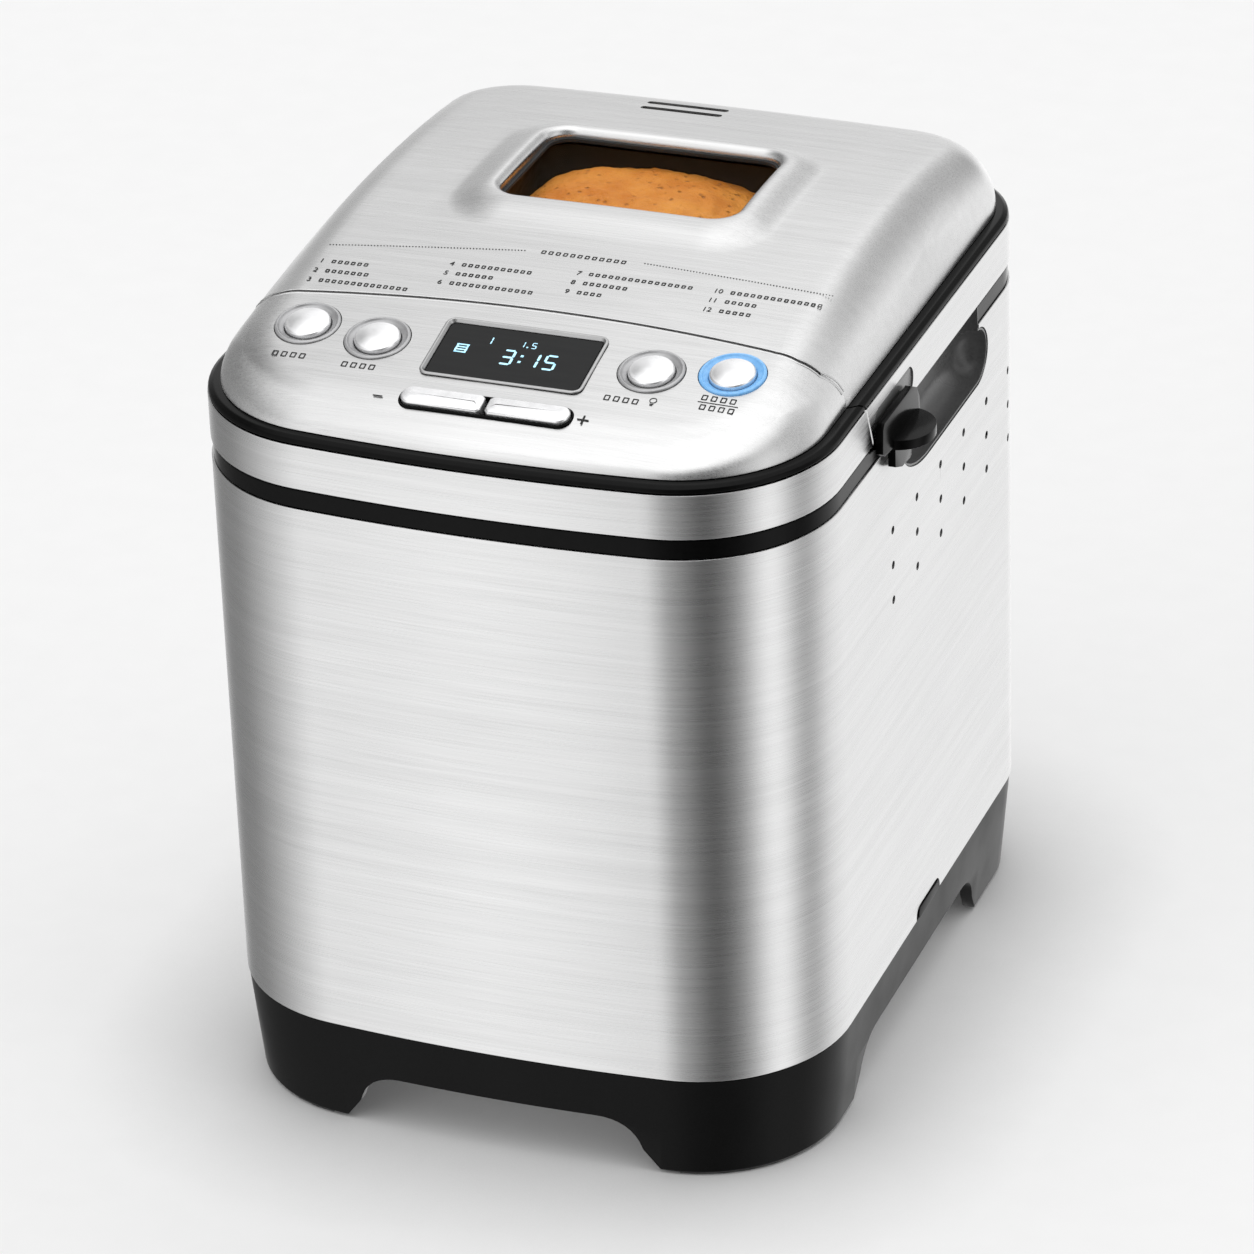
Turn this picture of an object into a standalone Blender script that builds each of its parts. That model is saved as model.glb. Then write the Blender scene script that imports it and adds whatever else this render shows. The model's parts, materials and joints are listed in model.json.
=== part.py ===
"""A compact bread machine: steel body, hinged windowed lid, fixed control panel, bread pan and belt drive.

Metres, +Z up, front towards -Y. Every dimension below is counted from the middle of the body's plan, at
ground level. The whole machine then stands on one empty, which puts the origin midway between the outermost
points: the lid's tab on the right and the hinge at the rear.
"""

import math

import bmesh
import bpy
from mathutils import Matrix, Vector

# ---- Driving dimensions, in metres ----
WIDTH = 0.220
DEPTH = 0.272
FRONT_BOW = 0.688  # radius of the slightly bowed front
FRONT_CORNER = 0.053
REAR_CORNER = 0.040
GAP = 0.0003  # between pieces that touch
FAR = 0.200  # clear of the machine, for cutters
SHEET = 0.0010  # pressed steel
MOULDED = 0.0020  # plastic wall

# Levels, from the ground up
FOOT_Z = 0.0010
ARCH_Z = 0.0210
PLATE_Z = 0.0327
BASE_TOP = 0.0400
BODY_TOP = 0.2375
SPLIT_Z = 0.2446  # the lid and the control housing begin here
TRIM_Z = 0.2608
RIM_Z = 0.2643

# The domed top: an arch from front to back, a slight crown across, and a rolled edge
ARCH_PEAK = 0.2942
ARCH_Y = 0.027
ARCH_RADIUS = 0.526
CROWN_RADIUS = 3.4
RIM_OFFSET = -0.0046
ROLL_REACH = 0.020

# The window in the lid, on a low plinth
WINDOW_Y = 0.032
WINDOW_HALF = (0.043, 0.029)
WINDOW_CORNER = 0.009
PLINTH_HALF = (0.059, 0.046)
PLINTH_Y = 0.028
PLINTH_CORNER = 0.022
PLINTH_RISE = 0.0032
LIP = 0.0032

# The seam between the control panel and the lid
SEAM_Y = -0.0630
SEAM_RADIUS = 0.705
SEAM_HALF = 0.092
SEAM_ENDS = (
    (0.099, -0.0680),
    (0.1045, -0.0620),
    (0.108, -0.0575),
    (0.111, -0.0548),
    (0.140, -0.0545),
)
SEAM_GAP = 0.0007
SEAM_LEAN = 0.008  # how far the seam leans back down the sides
SIDE_START = 0.107  # the seam runs down the side beyond this half-width

# The lifting tab on the lid's right side
TAB_Y = -0.0234  # middle of the half-round shelf
TAB_Z = 0.2400
TAB_HALF = 0.0133
TAB_REACH = 0.0122
TAB_THICK = 0.0034
FIN = ((-0.0480, 0.2420), (-0.0476, 0.2508), (-0.0460, 0.2526), (-0.0165, 0.2526))
FIN += ((-0.0120, 0.2503), (-0.0094, 0.2460), (-0.0090, 0.2385), (-0.0185, 0.2360), (-0.0185, 0.2282))
FIN += ((-0.0200, 0.2278), (-0.0282, 0.2284), (-0.0353, 0.2314), (-0.0353, 0.2395), (-0.0460, 0.2405))
BACKING_Y = -0.0260
BACKING_Z = 0.2510
BACKING_HALF = (0.0205, 0.0052)

# Lid hinge
HINGE_Y = 0.1412
HINGE_Z = 0.2440
PIN_RADIUS = 0.0020
KNUCKLE_RADIUS = 0.0042

# Baking chamber, pan and drive share one upright axis
OVEN_Y = 0.031
OVEN_HALF = (0.074, 0.082)
OVEN_FLOOR = 0.058
OVEN_TOP = 0.2410
PAN_FLOOR = 0.080
PAN_TOP = 0.221
PAN_FOOT_HALF = (0.058, 0.066)
PAN_RIM_HALF = (0.063, 0.0715)
BAIL_Z = 0.212
BAIL_X = 0.0698
BAIL_REACH = 0.0782
WIRE_RADIUS = 0.0018
SHAFT_RADIUS = 0.0040
LARGE_PULLEY = 0.0402
MOTOR_PULLEY = 0.0070
BELT = 0.0026
BELT_Z = (0.0400, 0.0480)
MOTOR_XY = (0.034, -0.092)

# The middle of the body's plan, seen from the origin
PLAN_CENTRE = (-(0.0010 + TAB_REACH) / 2, -(HINGE_Y + KNUCKLE_RADIUS - DEPTH / 2) / 2, 0)

# Controls
BUTTONS = {
    "menu": (-0.075, -0.085),
    "crust": (-0.0485, -0.0885),
    "size": (0.0475, -0.087),
    "start": (0.074, -0.0825),
}
BUTTON_RADIUS = 0.0078
RING_RADIUS = 0.0112
DISPLAY_Y = -0.0885
DISPLAY_HALF = (0.0268, 0.0135)
KEYS_Y = -0.1146
KEY_HALF = (0.0143, 0.0040)
KEY_X = 0.0151

# Side details
FINGER_Y = (-0.018, 0.0666)  # its mouth under the rim; it bulges behind and below that
FINGER_Z = 0.215
FINGER_FRONT = (0.029, 0.014)  # radii of its long front corner
FINGER_REAR = (0.0120, 0.0105)
FINGER_BACK = 0.0980  # how far in the moulding reaches
FINGER_FLOOR = 0.0995
VENT_SLOTS_Y = (0.1005, 0.1075)
VENT_SLOTS_X = -0.0105
CLIP_Y = 0.0045
HOLE_START = (-0.029, 0.178)
HOLE_PITCH = (0.0259, 0.0132)
HOLE_COUNT = (6, 3)
HOLE_RADIUS = 0.0015

# Points along each half of a loop: front, front corner, side, rear corner, rear
COARSE = (6, 8, 1, 6, 1)
CORNERS = (1, 4, 1, 4, 1)
FINE = (5, 6, 6, 5, 4)


# ---- Finishes ----
def finish(name, colour, roughness, metallic=0.0):
    made = bpy.data.materials.new(name)
    made.use_nodes = True
    shader = made.node_tree.nodes["Principled BSDF"]
    shader.inputs["Base Color"].default_value = (*colour, 1.0)
    shader.inputs["Roughness"].default_value = roughness
    shader.inputs["Metallic"].default_value = metallic
    made.diffuse_color = (*colour, 1.0)
    return made


# ---- Loops ----
def arc(centre, radius, start, end, steps):
    """Points along an arc, without its last one. Angles are in radians from +X."""
    angles = (start + (end - start) * i / steps for i in range(steps))
    return [(centre[0] + radius * math.cos(a), centre[1] + radius * math.sin(a)) for a in angles]


def line(start, end, steps):
    """Points along a line, without its last one."""
    return [tuple(s + (e - s) * i / steps for s, e in zip(start, end)) for i in range(steps)]


def mirrored(half):
    """A closed loop from its right half, which runs from the front's middle to the rear's middle."""
    return half + [(-x, y) for x, y in reversed(half[1:-1])]


def body_outline(offset=0.0, steps=COARSE):
    """The machine's plan: bowed front, large front corners, straight sides and a flat rear."""
    half, rear = WIDTH / 2 + offset, DEPTH / 2 + offset
    bow, corner, back = FRONT_BOW + offset, FRONT_CORNER + offset, REAR_CORNER + offset
    bow_y = -rear + bow
    corner_x = half - corner
    corner_y = bow_y - math.sqrt((bow - corner) ** 2 - corner_x**2)
    meet = math.atan2(corner_y - bow_y, corner_x)
    return mirrored(
        arc((0, bow_y), bow, -math.pi / 2, meet, steps[0])
        + arc((corner_x, corner_y), corner, meet, 0, steps[1])
        + line((half, corner_y), (half, rear - back), steps[2])
        + arc((half - back, rear - back), back, 0, math.pi / 2, steps[3])
        + line((half - back, rear), (0, rear), steps[4])
        + [(0, rear)]
    )


def rounded_loop(half_x, half_y, radius, centre_y=0.0, steps=CORNERS):
    """A rounded rectangle, with its points in the same order as body_outline."""
    low, high = centre_y - half_y, centre_y + half_y
    x = half_x - radius
    return mirrored(
        line((0, low), (x, low), steps[0])
        + arc((x, low + radius), radius, -math.pi / 2, 0, steps[1])
        + line((half_x, low + radius), (half_x, high - radius), steps[2])
        + arc((x, high - radius), radius, 0, math.pi / 2, steps[3])
        + line((x, high), (0, high), steps[4])
        + [(0, high)]
    )


def at_height(loop, z):
    return [Vector((x, y, z)) for x, y in loop]


# ---- Solids ----
def build(name, points, faces, colour=None, origin=(0, 0, 0)):
    """An object from points in the machine's frame, with its own origin at the given point."""
    origin = Vector(origin)
    mesh = bpy.data.meshes.new(name)
    mesh.from_pydata([Vector(p) - origin for p in points], [], faces)
    work = bmesh.new()
    work.from_mesh(mesh)
    bmesh.ops.recalc_face_normals(work, faces=work.faces)
    work.to_mesh(mesh)
    work.free()
    made = bpy.data.objects.new(name, mesh)
    made.location = origin
    bpy.context.collection.objects.link(made)
    if colour is None:
        made.hide_render = True
        made.display_type = "WIRE"
    else:
        mesh.materials.append(colour)
    return made


def loft(name, rings, colour=None, origin=(0, 0, 0), closed=False):
    """Skins rings of equally many points. A closed loft joins its last ring to its first."""
    count = len(rings[0])
    points = [p for ring in rings for p in ring]
    faces = []
    for k in range(len(rings) if closed else len(rings) - 1):
        low, high = k * count, (k + 1) % len(rings) * count
        for i in range(count):
            j = (i + 1) % count
            faces.append((low + i, low + j, high + j, high + i))
    if not closed:
        faces.append(tuple(reversed(range(count))))
        faces.append(tuple(range(len(points) - count, len(points))))
    return build(name, points, faces, colour, origin)


def band(name, profile, colour=None, origin=(0, 0, 0), steps=COARSE):
    """A ring round the body: profile is a closed list of (offset from the outline, height)."""
    rings = [at_height(body_outline(offset, steps), z) for offset, z in profile]
    return loft(name, rings, colour, origin, closed=True)


def prism(name, loop, low, high, colour=None, origin=(0, 0, 0)):
    return loft(name, [at_height(loop, low), at_height(loop, high)], colour, origin)


def cross_prism(name, outline, low, high, axis, colour=None, origin=(0, 0, 0)):
    """A prism along X from an outline of (y, z), or along Y from an outline of (x, z)."""
    if axis == "X":
        rings = [[Vector((a, y, z)) for y, z in outline] for a in (low, high)]
    else:
        rings = [[Vector((x, a, z)) for x, z in outline] for a in (low, high)]
    return loft(name, rings, colour, origin)


def block(name, low, high, colour=None, origin=(0, 0, 0)):
    loop = [(low[0], low[1]), (high[0], low[1]), (high[0], high[1]), (low[0], high[1])]
    return prism(name, loop, low[2], high[2], colour, origin)


def lathe(name, profile, colour=None, at=(0, 0, 0), steps=20, closed=False):
    """Turns a profile of (radius, height) about the local Z axis. A closed profile makes a ring."""
    points, rows, faces = [], [], []
    for radius, z in profile:
        turns = 1 if radius == 0 else steps
        rows.append(list(range(len(points), len(points) + turns)))
        for i in range(turns):
            a = math.tau * i / steps
            points.append((radius * math.cos(a), radius * math.sin(a), z))
    pairs = list(zip(rows, rows[1:]))
    if closed:
        pairs.append((rows[-1], rows[0]))
    for low, high in pairs:
        for i in range(steps):
            j = (i + 1) % steps
            corners = [low[i % len(low)], low[j % len(low)], high[j % len(high)], high[i % len(high)]]
            face = tuple(dict.fromkeys(corners))
            if len(face) > 2:
                faces.append(face)
    made = build(name, points, faces, colour)
    made.location = at
    return made


def drill(name, radius, at=(0, 0, 0), steps=16):
    """A cutter along local Z for a round hole."""
    return lathe(name, [(0, -0.02), (radius, -0.02), (radius, 0.02), (0, 0.02)], at=at, steps=steps)


def rod(name, points, radius, colour=None, origin=(0, 0, 0), steps=2):
    """A round wire through the points."""
    origin = Vector(origin)
    curve = bpy.data.curves.new(name, "CURVE")
    curve.dimensions = "3D"
    curve.bevel_depth = radius
    curve.bevel_resolution = steps
    curve.use_fill_caps = True
    spline = curve.splines.new("POLY")
    spline.points.add(len(points) - 1)
    for place, point in zip(spline.points, points):
        place.co = (*(Vector(point) - origin), 1)
    made = bpy.data.objects.new(name, curve)
    made.location = origin
    bpy.context.collection.objects.link(made)
    curve.materials.append(colour)
    return made


def combine(piece, other, operation):
    """Adds a Boolean to piece and hides other, which only shapes it."""
    modifier = piece.modifiers.new(f"{operation.lower()} {other.name}", "BOOLEAN")
    modifier.operation = operation
    modifier.object = other
    other.hide_render = True
    other.display_type = "WIRE"
    return piece


def cut(piece, *others):
    for other in others:
        combine(piece, other, "DIFFERENCE")
    return piece


def fuse(piece, *others):
    for other in others:
        combine(piece, other, "UNION")
    return piece


def keep(piece, other):
    return combine(piece, other, "INTERSECT")


def fasten(piece, parent):
    """Parents piece to an empty without moving it."""
    piece.parent = parent
    piece.matrix_parent_inverse = Matrix.Translation(-parent.location)
    return piece


def axis_empty(name, location):
    made = bpy.data.objects.new(name, None)
    made.location = location
    made.empty_display_size = 0.02
    bpy.context.collection.objects.link(made)
    return made


# ---- The top's surface and its seam ----
def top_height(x, y):
    fall = y - ARCH_Y
    arch = ARCH_RADIUS - math.sqrt(ARCH_RADIUS**2 - fall**2)
    return ARCH_PEAK - arch - x**2 / (2 * CROWN_RADIUS)


def top_tilt(y):
    return math.asin((ARCH_Y - y) / ARCH_RADIUS)


def on_panel(x, y, height=0.0):
    """A point that many metres above the panel's surface."""
    tilt = top_tilt(y)
    up = Vector((0, -math.sin(tilt), math.cos(tilt)))
    return Vector((x, y, top_height(x, y))) + up * height


def mixed(first, second, share):
    return [(a + (c - a) * share, b + (d - b) * share) for (a, b), (c, d) in zip(first, second)]


def dome(name, inset, base):
    """The solid under the whole domed top, with the window as a hole. inset moves its surface inwards."""
    start = RIM_OFFSET - inset
    reach = ROLL_REACH - inset
    rings = [at_height(body_outline(start, FINE), base)]
    for k in range(6):
        turn = math.pi / 2 * k / 5
        outline = body_outline(start - reach * (1 - math.cos(turn)), FINE)
        low = RIM_Z if inset == 0 else RIM_Z - inset
        share = math.sin(turn)
        rings.append([Vector((x, y, low + (top_height(x, y) - inset - low) * share)) for x, y in outline])
    edge = body_outline(start - reach, FINE)
    foot = rounded_loop(*PLINTH_HALF, PLINTH_CORNER, PLINTH_Y, FINE)
    grown = [h + LIP + inset for h in WINDOW_HALF]
    brow = rounded_loop(*grown, WINDOW_CORNER + LIP + inset, WINDOW_Y, FINE)
    for k in range(1, 4):
        loop = mixed(edge, foot, k / 3)
        rings.append([Vector((x, y, top_height(x, y) - inset)) for x, y in loop])
    for k in range(1, 5):
        share = k / 4
        rise = PLINTH_RISE * share * share * (3 - 2 * share)
        loop = mixed(foot, brow, share)
        rings.append([Vector((x, y, top_height(x, y) - inset + rise)) for x, y in loop])
    for k in range(1, 4):
        turn = math.pi / 2 * k / 3
        shrink = LIP * math.sin(turn)
        drop = LIP * (1 - math.cos(turn))
        halves = [h - shrink for h in grown]
        loop = rounded_loop(*halves, WINDOW_CORNER + LIP + inset - shrink, WINDOW_Y, FINE)
        rings.append([Vector((x, y, top_height(x, y) - inset + PLINTH_RISE - drop)) for x, y in loop])
    rings.append([Vector((p.x, p.y, base)) for p in rings[-1]])
    if inset == 0:
        del rings[0]
        rings[-1] = [Vector((p.x, p.y, RIM_Z)) for p in rings[-1]]
    return loft(name, rings, closed=True)


def seam_line(shift, lean):
    """The seam in plan, from left to right. Only its ends, down the sides, lean back."""
    middle = [SEAM_HALF * i / 8 for i in range(9)]
    right = [(x, SEAM_Y - x**2 / (2 * SEAM_RADIUS) + shift) for x in middle]
    right += [(x, y + shift + (lean if x > SIDE_START else 0)) for x, y in SEAM_ENDS]
    return [(-x, y) for x, y in reversed(right[1:])] + right


def seam_prism(name, shift, far_y):
    """Everything on one side of the seam, out to far_y."""
    rings = []
    for z, lean in ((0.235, SEAM_LEAN), (SPLIT_Z, SEAM_LEAN), (RIM_Z, 0.0), (0.310, 0.0)):
        edge = seam_line(shift, lean)
        rings.append(at_height(edge + [(edge[-1][0], far_y), (edge[0][0], far_y)], z))
    return loft(name, rings)


def lid_side(name, wall=0.0):
    return seam_prism(name, SEAM_GAP / 2 + wall, 0.200)


def panel_side(name, wall=0.0):
    return seam_prism(name, -SEAM_GAP / 2 - wall, -0.200)


# ---- Base ----
def make_base(black, rubber, steel):
    skirt = band(
        "base_skirt",
        [
            (-0.0040, FOOT_Z),
            (-0.0022, 0.0200),
            (-0.0004, BASE_TOP - GAP),
            (-SHEET - GAP, BASE_TOP - GAP),
            (-SHEET - GAP, 0.0470),
            (-0.0033, 0.0470),
            (-0.0033, PLATE_Z - GAP),
            (-0.0100, PLATE_Z - GAP),
            (-0.0100, 0.0290),
            (-0.0058, 0.0290),
            (-0.0085, FOOT_Z),
        ],
        black,
    )
    front_arch = arch_outline(0.0580, 0.0445)
    side_arch = [(y + 0.001, z) for y, z in arch_outline(0.0690, 0.0560)]
    cut(
        skirt,
        cross_prism("front_arch_cut", front_arch, -FAR, FAR, "Y"),
        cross_prism("side_arch_cut", side_arch, -FAR, FAR, "X"),
    )
    for side, x in (("left", -1), ("right", 1)):
        for end, y in (("front", -1), ("rear", 1)):
            pad = band(
                f"rubber_foot_{end}_{side}",
                [(-0.0050, 0.0), (-0.0046, FOOT_Z - GAP), (-0.0078, FOOT_Z - GAP), (-0.0074, 0.0)],
                rubber,
            )
            near_x, far_x = sorted((x * 0.064, x * FAR))
            near_y, far_y = sorted((y * 0.076, y * FAR))
            keep(pad, block(f"{pad.name}_corner", (near_x, near_y, -0.01), (far_x, far_y, 0.01)))
    prism("base_plate", body_outline(-0.0037), PLATE_Z, PLATE_Z + MOULDED, steel, (0, 0, PLATE_Z))
    inner, outer = WIDTH / 2 - 0.0010, WIDTH / 2 + 0.0004
    outline = [(y + CLIP_Y, z) for y, z in rounded_loop(0.0112, 0.0021, 0.0018, BASE_TOP + 0.0021)]
    cross_prism("seam_clip", outline, inner, outer, "X", black, (inner, CLIP_Y, BASE_TOP))


def arch_outline(foot, crown):
    """Half-width foot at the ground, crown at the top, with rounded shoulders."""
    right = [(foot, -0.005), (foot - 0.001, FOOT_Z), (crown + 0.006, ARCH_Z - 0.009)]
    right += [(crown + 0.0035, ARCH_Z - 0.0032), (crown, ARCH_Z - 0.0008), (crown - 0.006, ARCH_Z)]
    return right + [(-x, z) for x, z in reversed(right)]


# ---- Body ----
def make_body(steel, dark, black, grey):
    wrap = band(
        "body_wrap",
        [(0, BASE_TOP), (0, BODY_TOP), (-SHEET, BODY_TOP), (-SHEET, BASE_TOP)],
        steel,
        (0, 0, BASE_TOP),
    )
    notch = [(y + CLIP_Y, z) for y, z in rounded_loop(0.0130, 0.0050, 0.0040, BASE_TOP)]
    cut(
        wrap,
        vent_drills(),
        block("rear_opening", (-0.066, 0.120, 0.052), (0.066, 0.150, 0.226)),
        cross_prism("wrap_finger_cut", finger_outline(GAP), 0.095, 0.140, "X"),
        cross_prism("clip_notch", notch, 0.1, 0.2, "X"),
    )
    rim = band(
        "upper_rim",
        [
            (-0.0006, BODY_TOP + GAP),
            (-0.0006, SPLIT_Z - GAP),
            (-0.0100, SPLIT_Z - GAP),
            (-0.0100, 0.2414),
            (-0.0034, 0.2414),
            (-0.0034, 0.2300),
            (-SHEET - GAP, 0.2300),
            (-SHEET - GAP, BODY_TOP + GAP),
        ],
        black,
        (0, 0, BODY_TOP),
    )
    cut(rim, cross_prism("rim_finger_cut", finger_outline(GAP), 0.095, 0.140, "X"))
    shelf = prism("deck_plate", body_outline(-0.0103), 0.2416, 0.2432, dark, (0, 0, 0.2416))
    mouth = rounded_loop(OVEN_HALF[0] + 0.001, OVEN_HALF[1] + 0.001, 0.020, OVEN_Y)
    cut(
        shelf,
        prism("deck_mouth", mouth, 0.23, 0.26),
        cross_prism("deck_finger_cut", finger_outline(GAP), 0.095, 0.140, "X"),
    )
    side = WIDTH / 2
    at = (side, OVEN_Y, FINGER_Z)
    cup = cross_prism("finger_recess", finger_outline(0.0), FINGER_BACK, side - GAP, "X", grey, at)
    scoop = [
        [Vector((x, y, z)) for y, z in finger_outline(-wall)]
        for x, wall in ((FINGER_FLOOR, 0.006), (0.1010, 0.0025), (0.120, 0.0012))
    ]
    front, back = FINGER_Y[0] + 0.0025, FINGER_Y[1] - 0.0025
    mouth = block("scoop_top", (FINGER_FLOOR, front, 0.2430), (0.130, back, 0.260))
    cut(cup, loft("finger_scoop", scoop), mouth)
    rear_panel(black)


def finger_outline(grow):
    """The finger recess from the side, as (y, z). Its front corner is long, and its rear bulges."""
    low, high = FINGER_Y
    lid = SPLIT_Z - 2 * GAP + max(grow, 0) * 10
    rear = (high - 0.0021, FINGER_Z + FINGER_REAR[1])
    front = (low + FINGER_FRONT[0], FINGER_Z + FINGER_FRONT[1])
    outline = [(high + grow, lid)]
    outline += oval(rear, FINGER_REAR, grow, math.radians(80), -math.pi / 2, 10)
    outline += oval(front, FINGER_FRONT, grow, -math.pi / 2, -math.pi, 6)
    outline += [(low - grow, front[1]), (low - grow, lid)]
    return outline


def oval(centre, radii, grow, start, end, steps):
    """Points along part of an ellipse, without its last one."""
    round_one = arc((0, 0), 1.0, start, end, steps)
    return [(centre[0] + (radii[0] + grow) * x, centre[1] + (radii[1] + grow) * y) for x, y in round_one]


def vent_drills():
    """One cutter with a drill through both sides for each vent hole."""
    points, faces = [], []
    steps = 8
    for column in range(HOLE_COUNT[0]):
        for row in range(HOLE_COUNT[1]):
            y = HOLE_START[0] + HOLE_PITCH[0] * column
            z = HOLE_START[1] + HOLE_PITCH[1] * row
            first = len(points)
            for x in (-FAR, FAR):
                points += [Vector((x, a, b)) for a, b in arc((y, z), HOLE_RADIUS, 0, math.tau, steps)]
            for i in range(steps):
                j = (i + 1) % steps
                faces.append((first + i, first + j, first + steps + j, first + steps + i))
            faces.append(tuple(first + i for i in reversed(range(steps))))
            faces.append(tuple(first + steps + i for i in range(steps)))
    return build("vent_drills", points, faces)


def rear_panel(black):
    low, high = (-0.0655, 0.1335, 0.0525), (0.0655, 0.1357, 0.2255)
    panel = block("rear_panel", low, high, black, (0, high[1], low[2]))
    for k in range(7):
        z = 0.150 + 0.009 * k
        cut(panel, block(f"rear_louvre_{k}", (-0.045, 0.120, z), (0.045, 0.150, z + 0.0035)))
    gland_at = (-0.045, 0.1357, 0.072)
    bore = drill("gland_bore", 0.0060, gland_at)
    bore.rotation_euler.x = math.pi / 2
    cut(panel, bore)
    gland = lathe(
        "cord_gland",
        [
            (0.0030, -0.0040),
            (0.0057, -0.0040),
            (0.0057, 0.0003),
            (0.0085, 0.0003),
            (0.0085, 0.0020),
            (0.0050, 0.0035),
            (0.0045, 0.0090),
            (0.0030, 0.0090),
        ],
        black,
        gland_at,
        16,
        closed=True,
    )
    gland.rotation_euler.x = -math.pi / 2


# ---- Baking chamber and pan ----
def make_oven(tin, steel, glass):
    x, y = OVEN_HALF
    chamber = loft(
        "baking_chamber",
        [
            at_height(rounded_loop(x + 0.0008, y + 0.0008, 0.0208, OVEN_Y), OVEN_FLOOR - 0.0008),
            at_height(rounded_loop(x + 0.0008, y + 0.0008, 0.0208, OVEN_Y), OVEN_TOP - 0.0008),
            at_height(rounded_loop(x + 0.0060, y + 0.0060, 0.0260, OVEN_Y), OVEN_TOP - 0.0008),
            at_height(rounded_loop(x + 0.0060, y + 0.0060, 0.0260, OVEN_Y), OVEN_TOP),
            at_height(rounded_loop(x, y, 0.020, OVEN_Y), OVEN_TOP),
            at_height(rounded_loop(x, y, 0.020, OVEN_Y), OVEN_FLOOR),
        ],
        tin,
        (0, OVEN_Y, OVEN_FLOOR),
    )
    front = OVEN_Y - y
    cut(chamber, drill("spindle_hole", 0.0130, (0, OVEN_Y, OVEN_FLOOR), 20))
    for label, px, pz, radius in (
        ("element_left", -0.012, 0.095, 0.0036),
        ("element_right", 0.012, 0.095, 0.0036),
        ("sensor", -0.030, 0.120, 0.0029),
        ("lamp", 0.045, 0.205, 0.0083),
    ):
        hole = drill(f"{label}_hole", radius, (px, front, pz))
        hole.rotation_euler.x = math.pi / 2
        cut(chamber, hole)
    make_element(steel)
    stem = [
        (0, -0.006),
        (0.0055, -0.006),
        (0.0055, -0.0012),
        (0.0026, -0.0012),
        (0.0026, 0.006),
        (0.0015, 0.007),
        (0, 0.007),
    ]
    probe = lathe("temperature_sensor", stem, steel, (-0.030, front, 0.120), 16)
    probe.rotation_euler.x = -math.pi / 2
    bulb = [
        (0, -0.012),
        (0.0100, -0.012),
        (0.0100, -0.0012),
        (0.0080, -0.0012),
        (0.0078, 0.0020),
        (0.0050, 0.0040),
        (0, 0.0045),
    ]
    lamp = lathe("chamber_lamp", bulb, glass, (0.045, front, 0.205), 20)
    lamp.rotation_euler.x = -math.pi / 2
    socket = [
        (0.0375, GAP),
        (0.0450, GAP),
        (0.0450, 0.0018),
        (0.0400, 0.0018),
        (0.0392, 0.0080),
        (0.0375, 0.0080),
    ]
    lathe("pan_socket", socket, steel, (0, OVEN_Y, OVEN_FLOOR), 24, closed=True)
    housing = [
        (0.0044, -0.0078),
        (0.0110, -0.0078),
        (0.0120, -0.0032),
        (0.0220, -0.0032),
        (0.0220, -0.0012),
        (0.0044, -0.0012),
    ]
    lathe("bearing_housing", housing, steel, (0, OVEN_Y, OVEN_FLOOR), 24, closed=True)


def make_element(steel):
    """A round rod that runs once round the chamber, with both ends out through its front wall."""
    inset = 0.0052
    x, y = OVEN_HALF[0] - inset, OVEN_HALF[1] - inset
    low, high, radius, z = OVEN_Y - y, OVEN_Y + y, 0.016, 0.095
    out = OVEN_Y - OVEN_HALF[1] - 0.010
    right = [(0.012, out), (0.012, low - 0.0005), (0.0135, low + 0.0010), (0.016, low + 0.0015)]
    right += arc((x - radius, low + radius), radius, -math.pi / 2, 0, 5)
    right += arc((x - radius, high - radius), radius, 0, math.pi / 2, 5)
    right += [(x - radius, high)]
    loop = right + [(-a, b) for a, b in reversed(right)]
    rod("heating_element", [(a, b, z) for a, b in loop], 0.0031, steel, (0, OVEN_Y, z))


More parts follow.
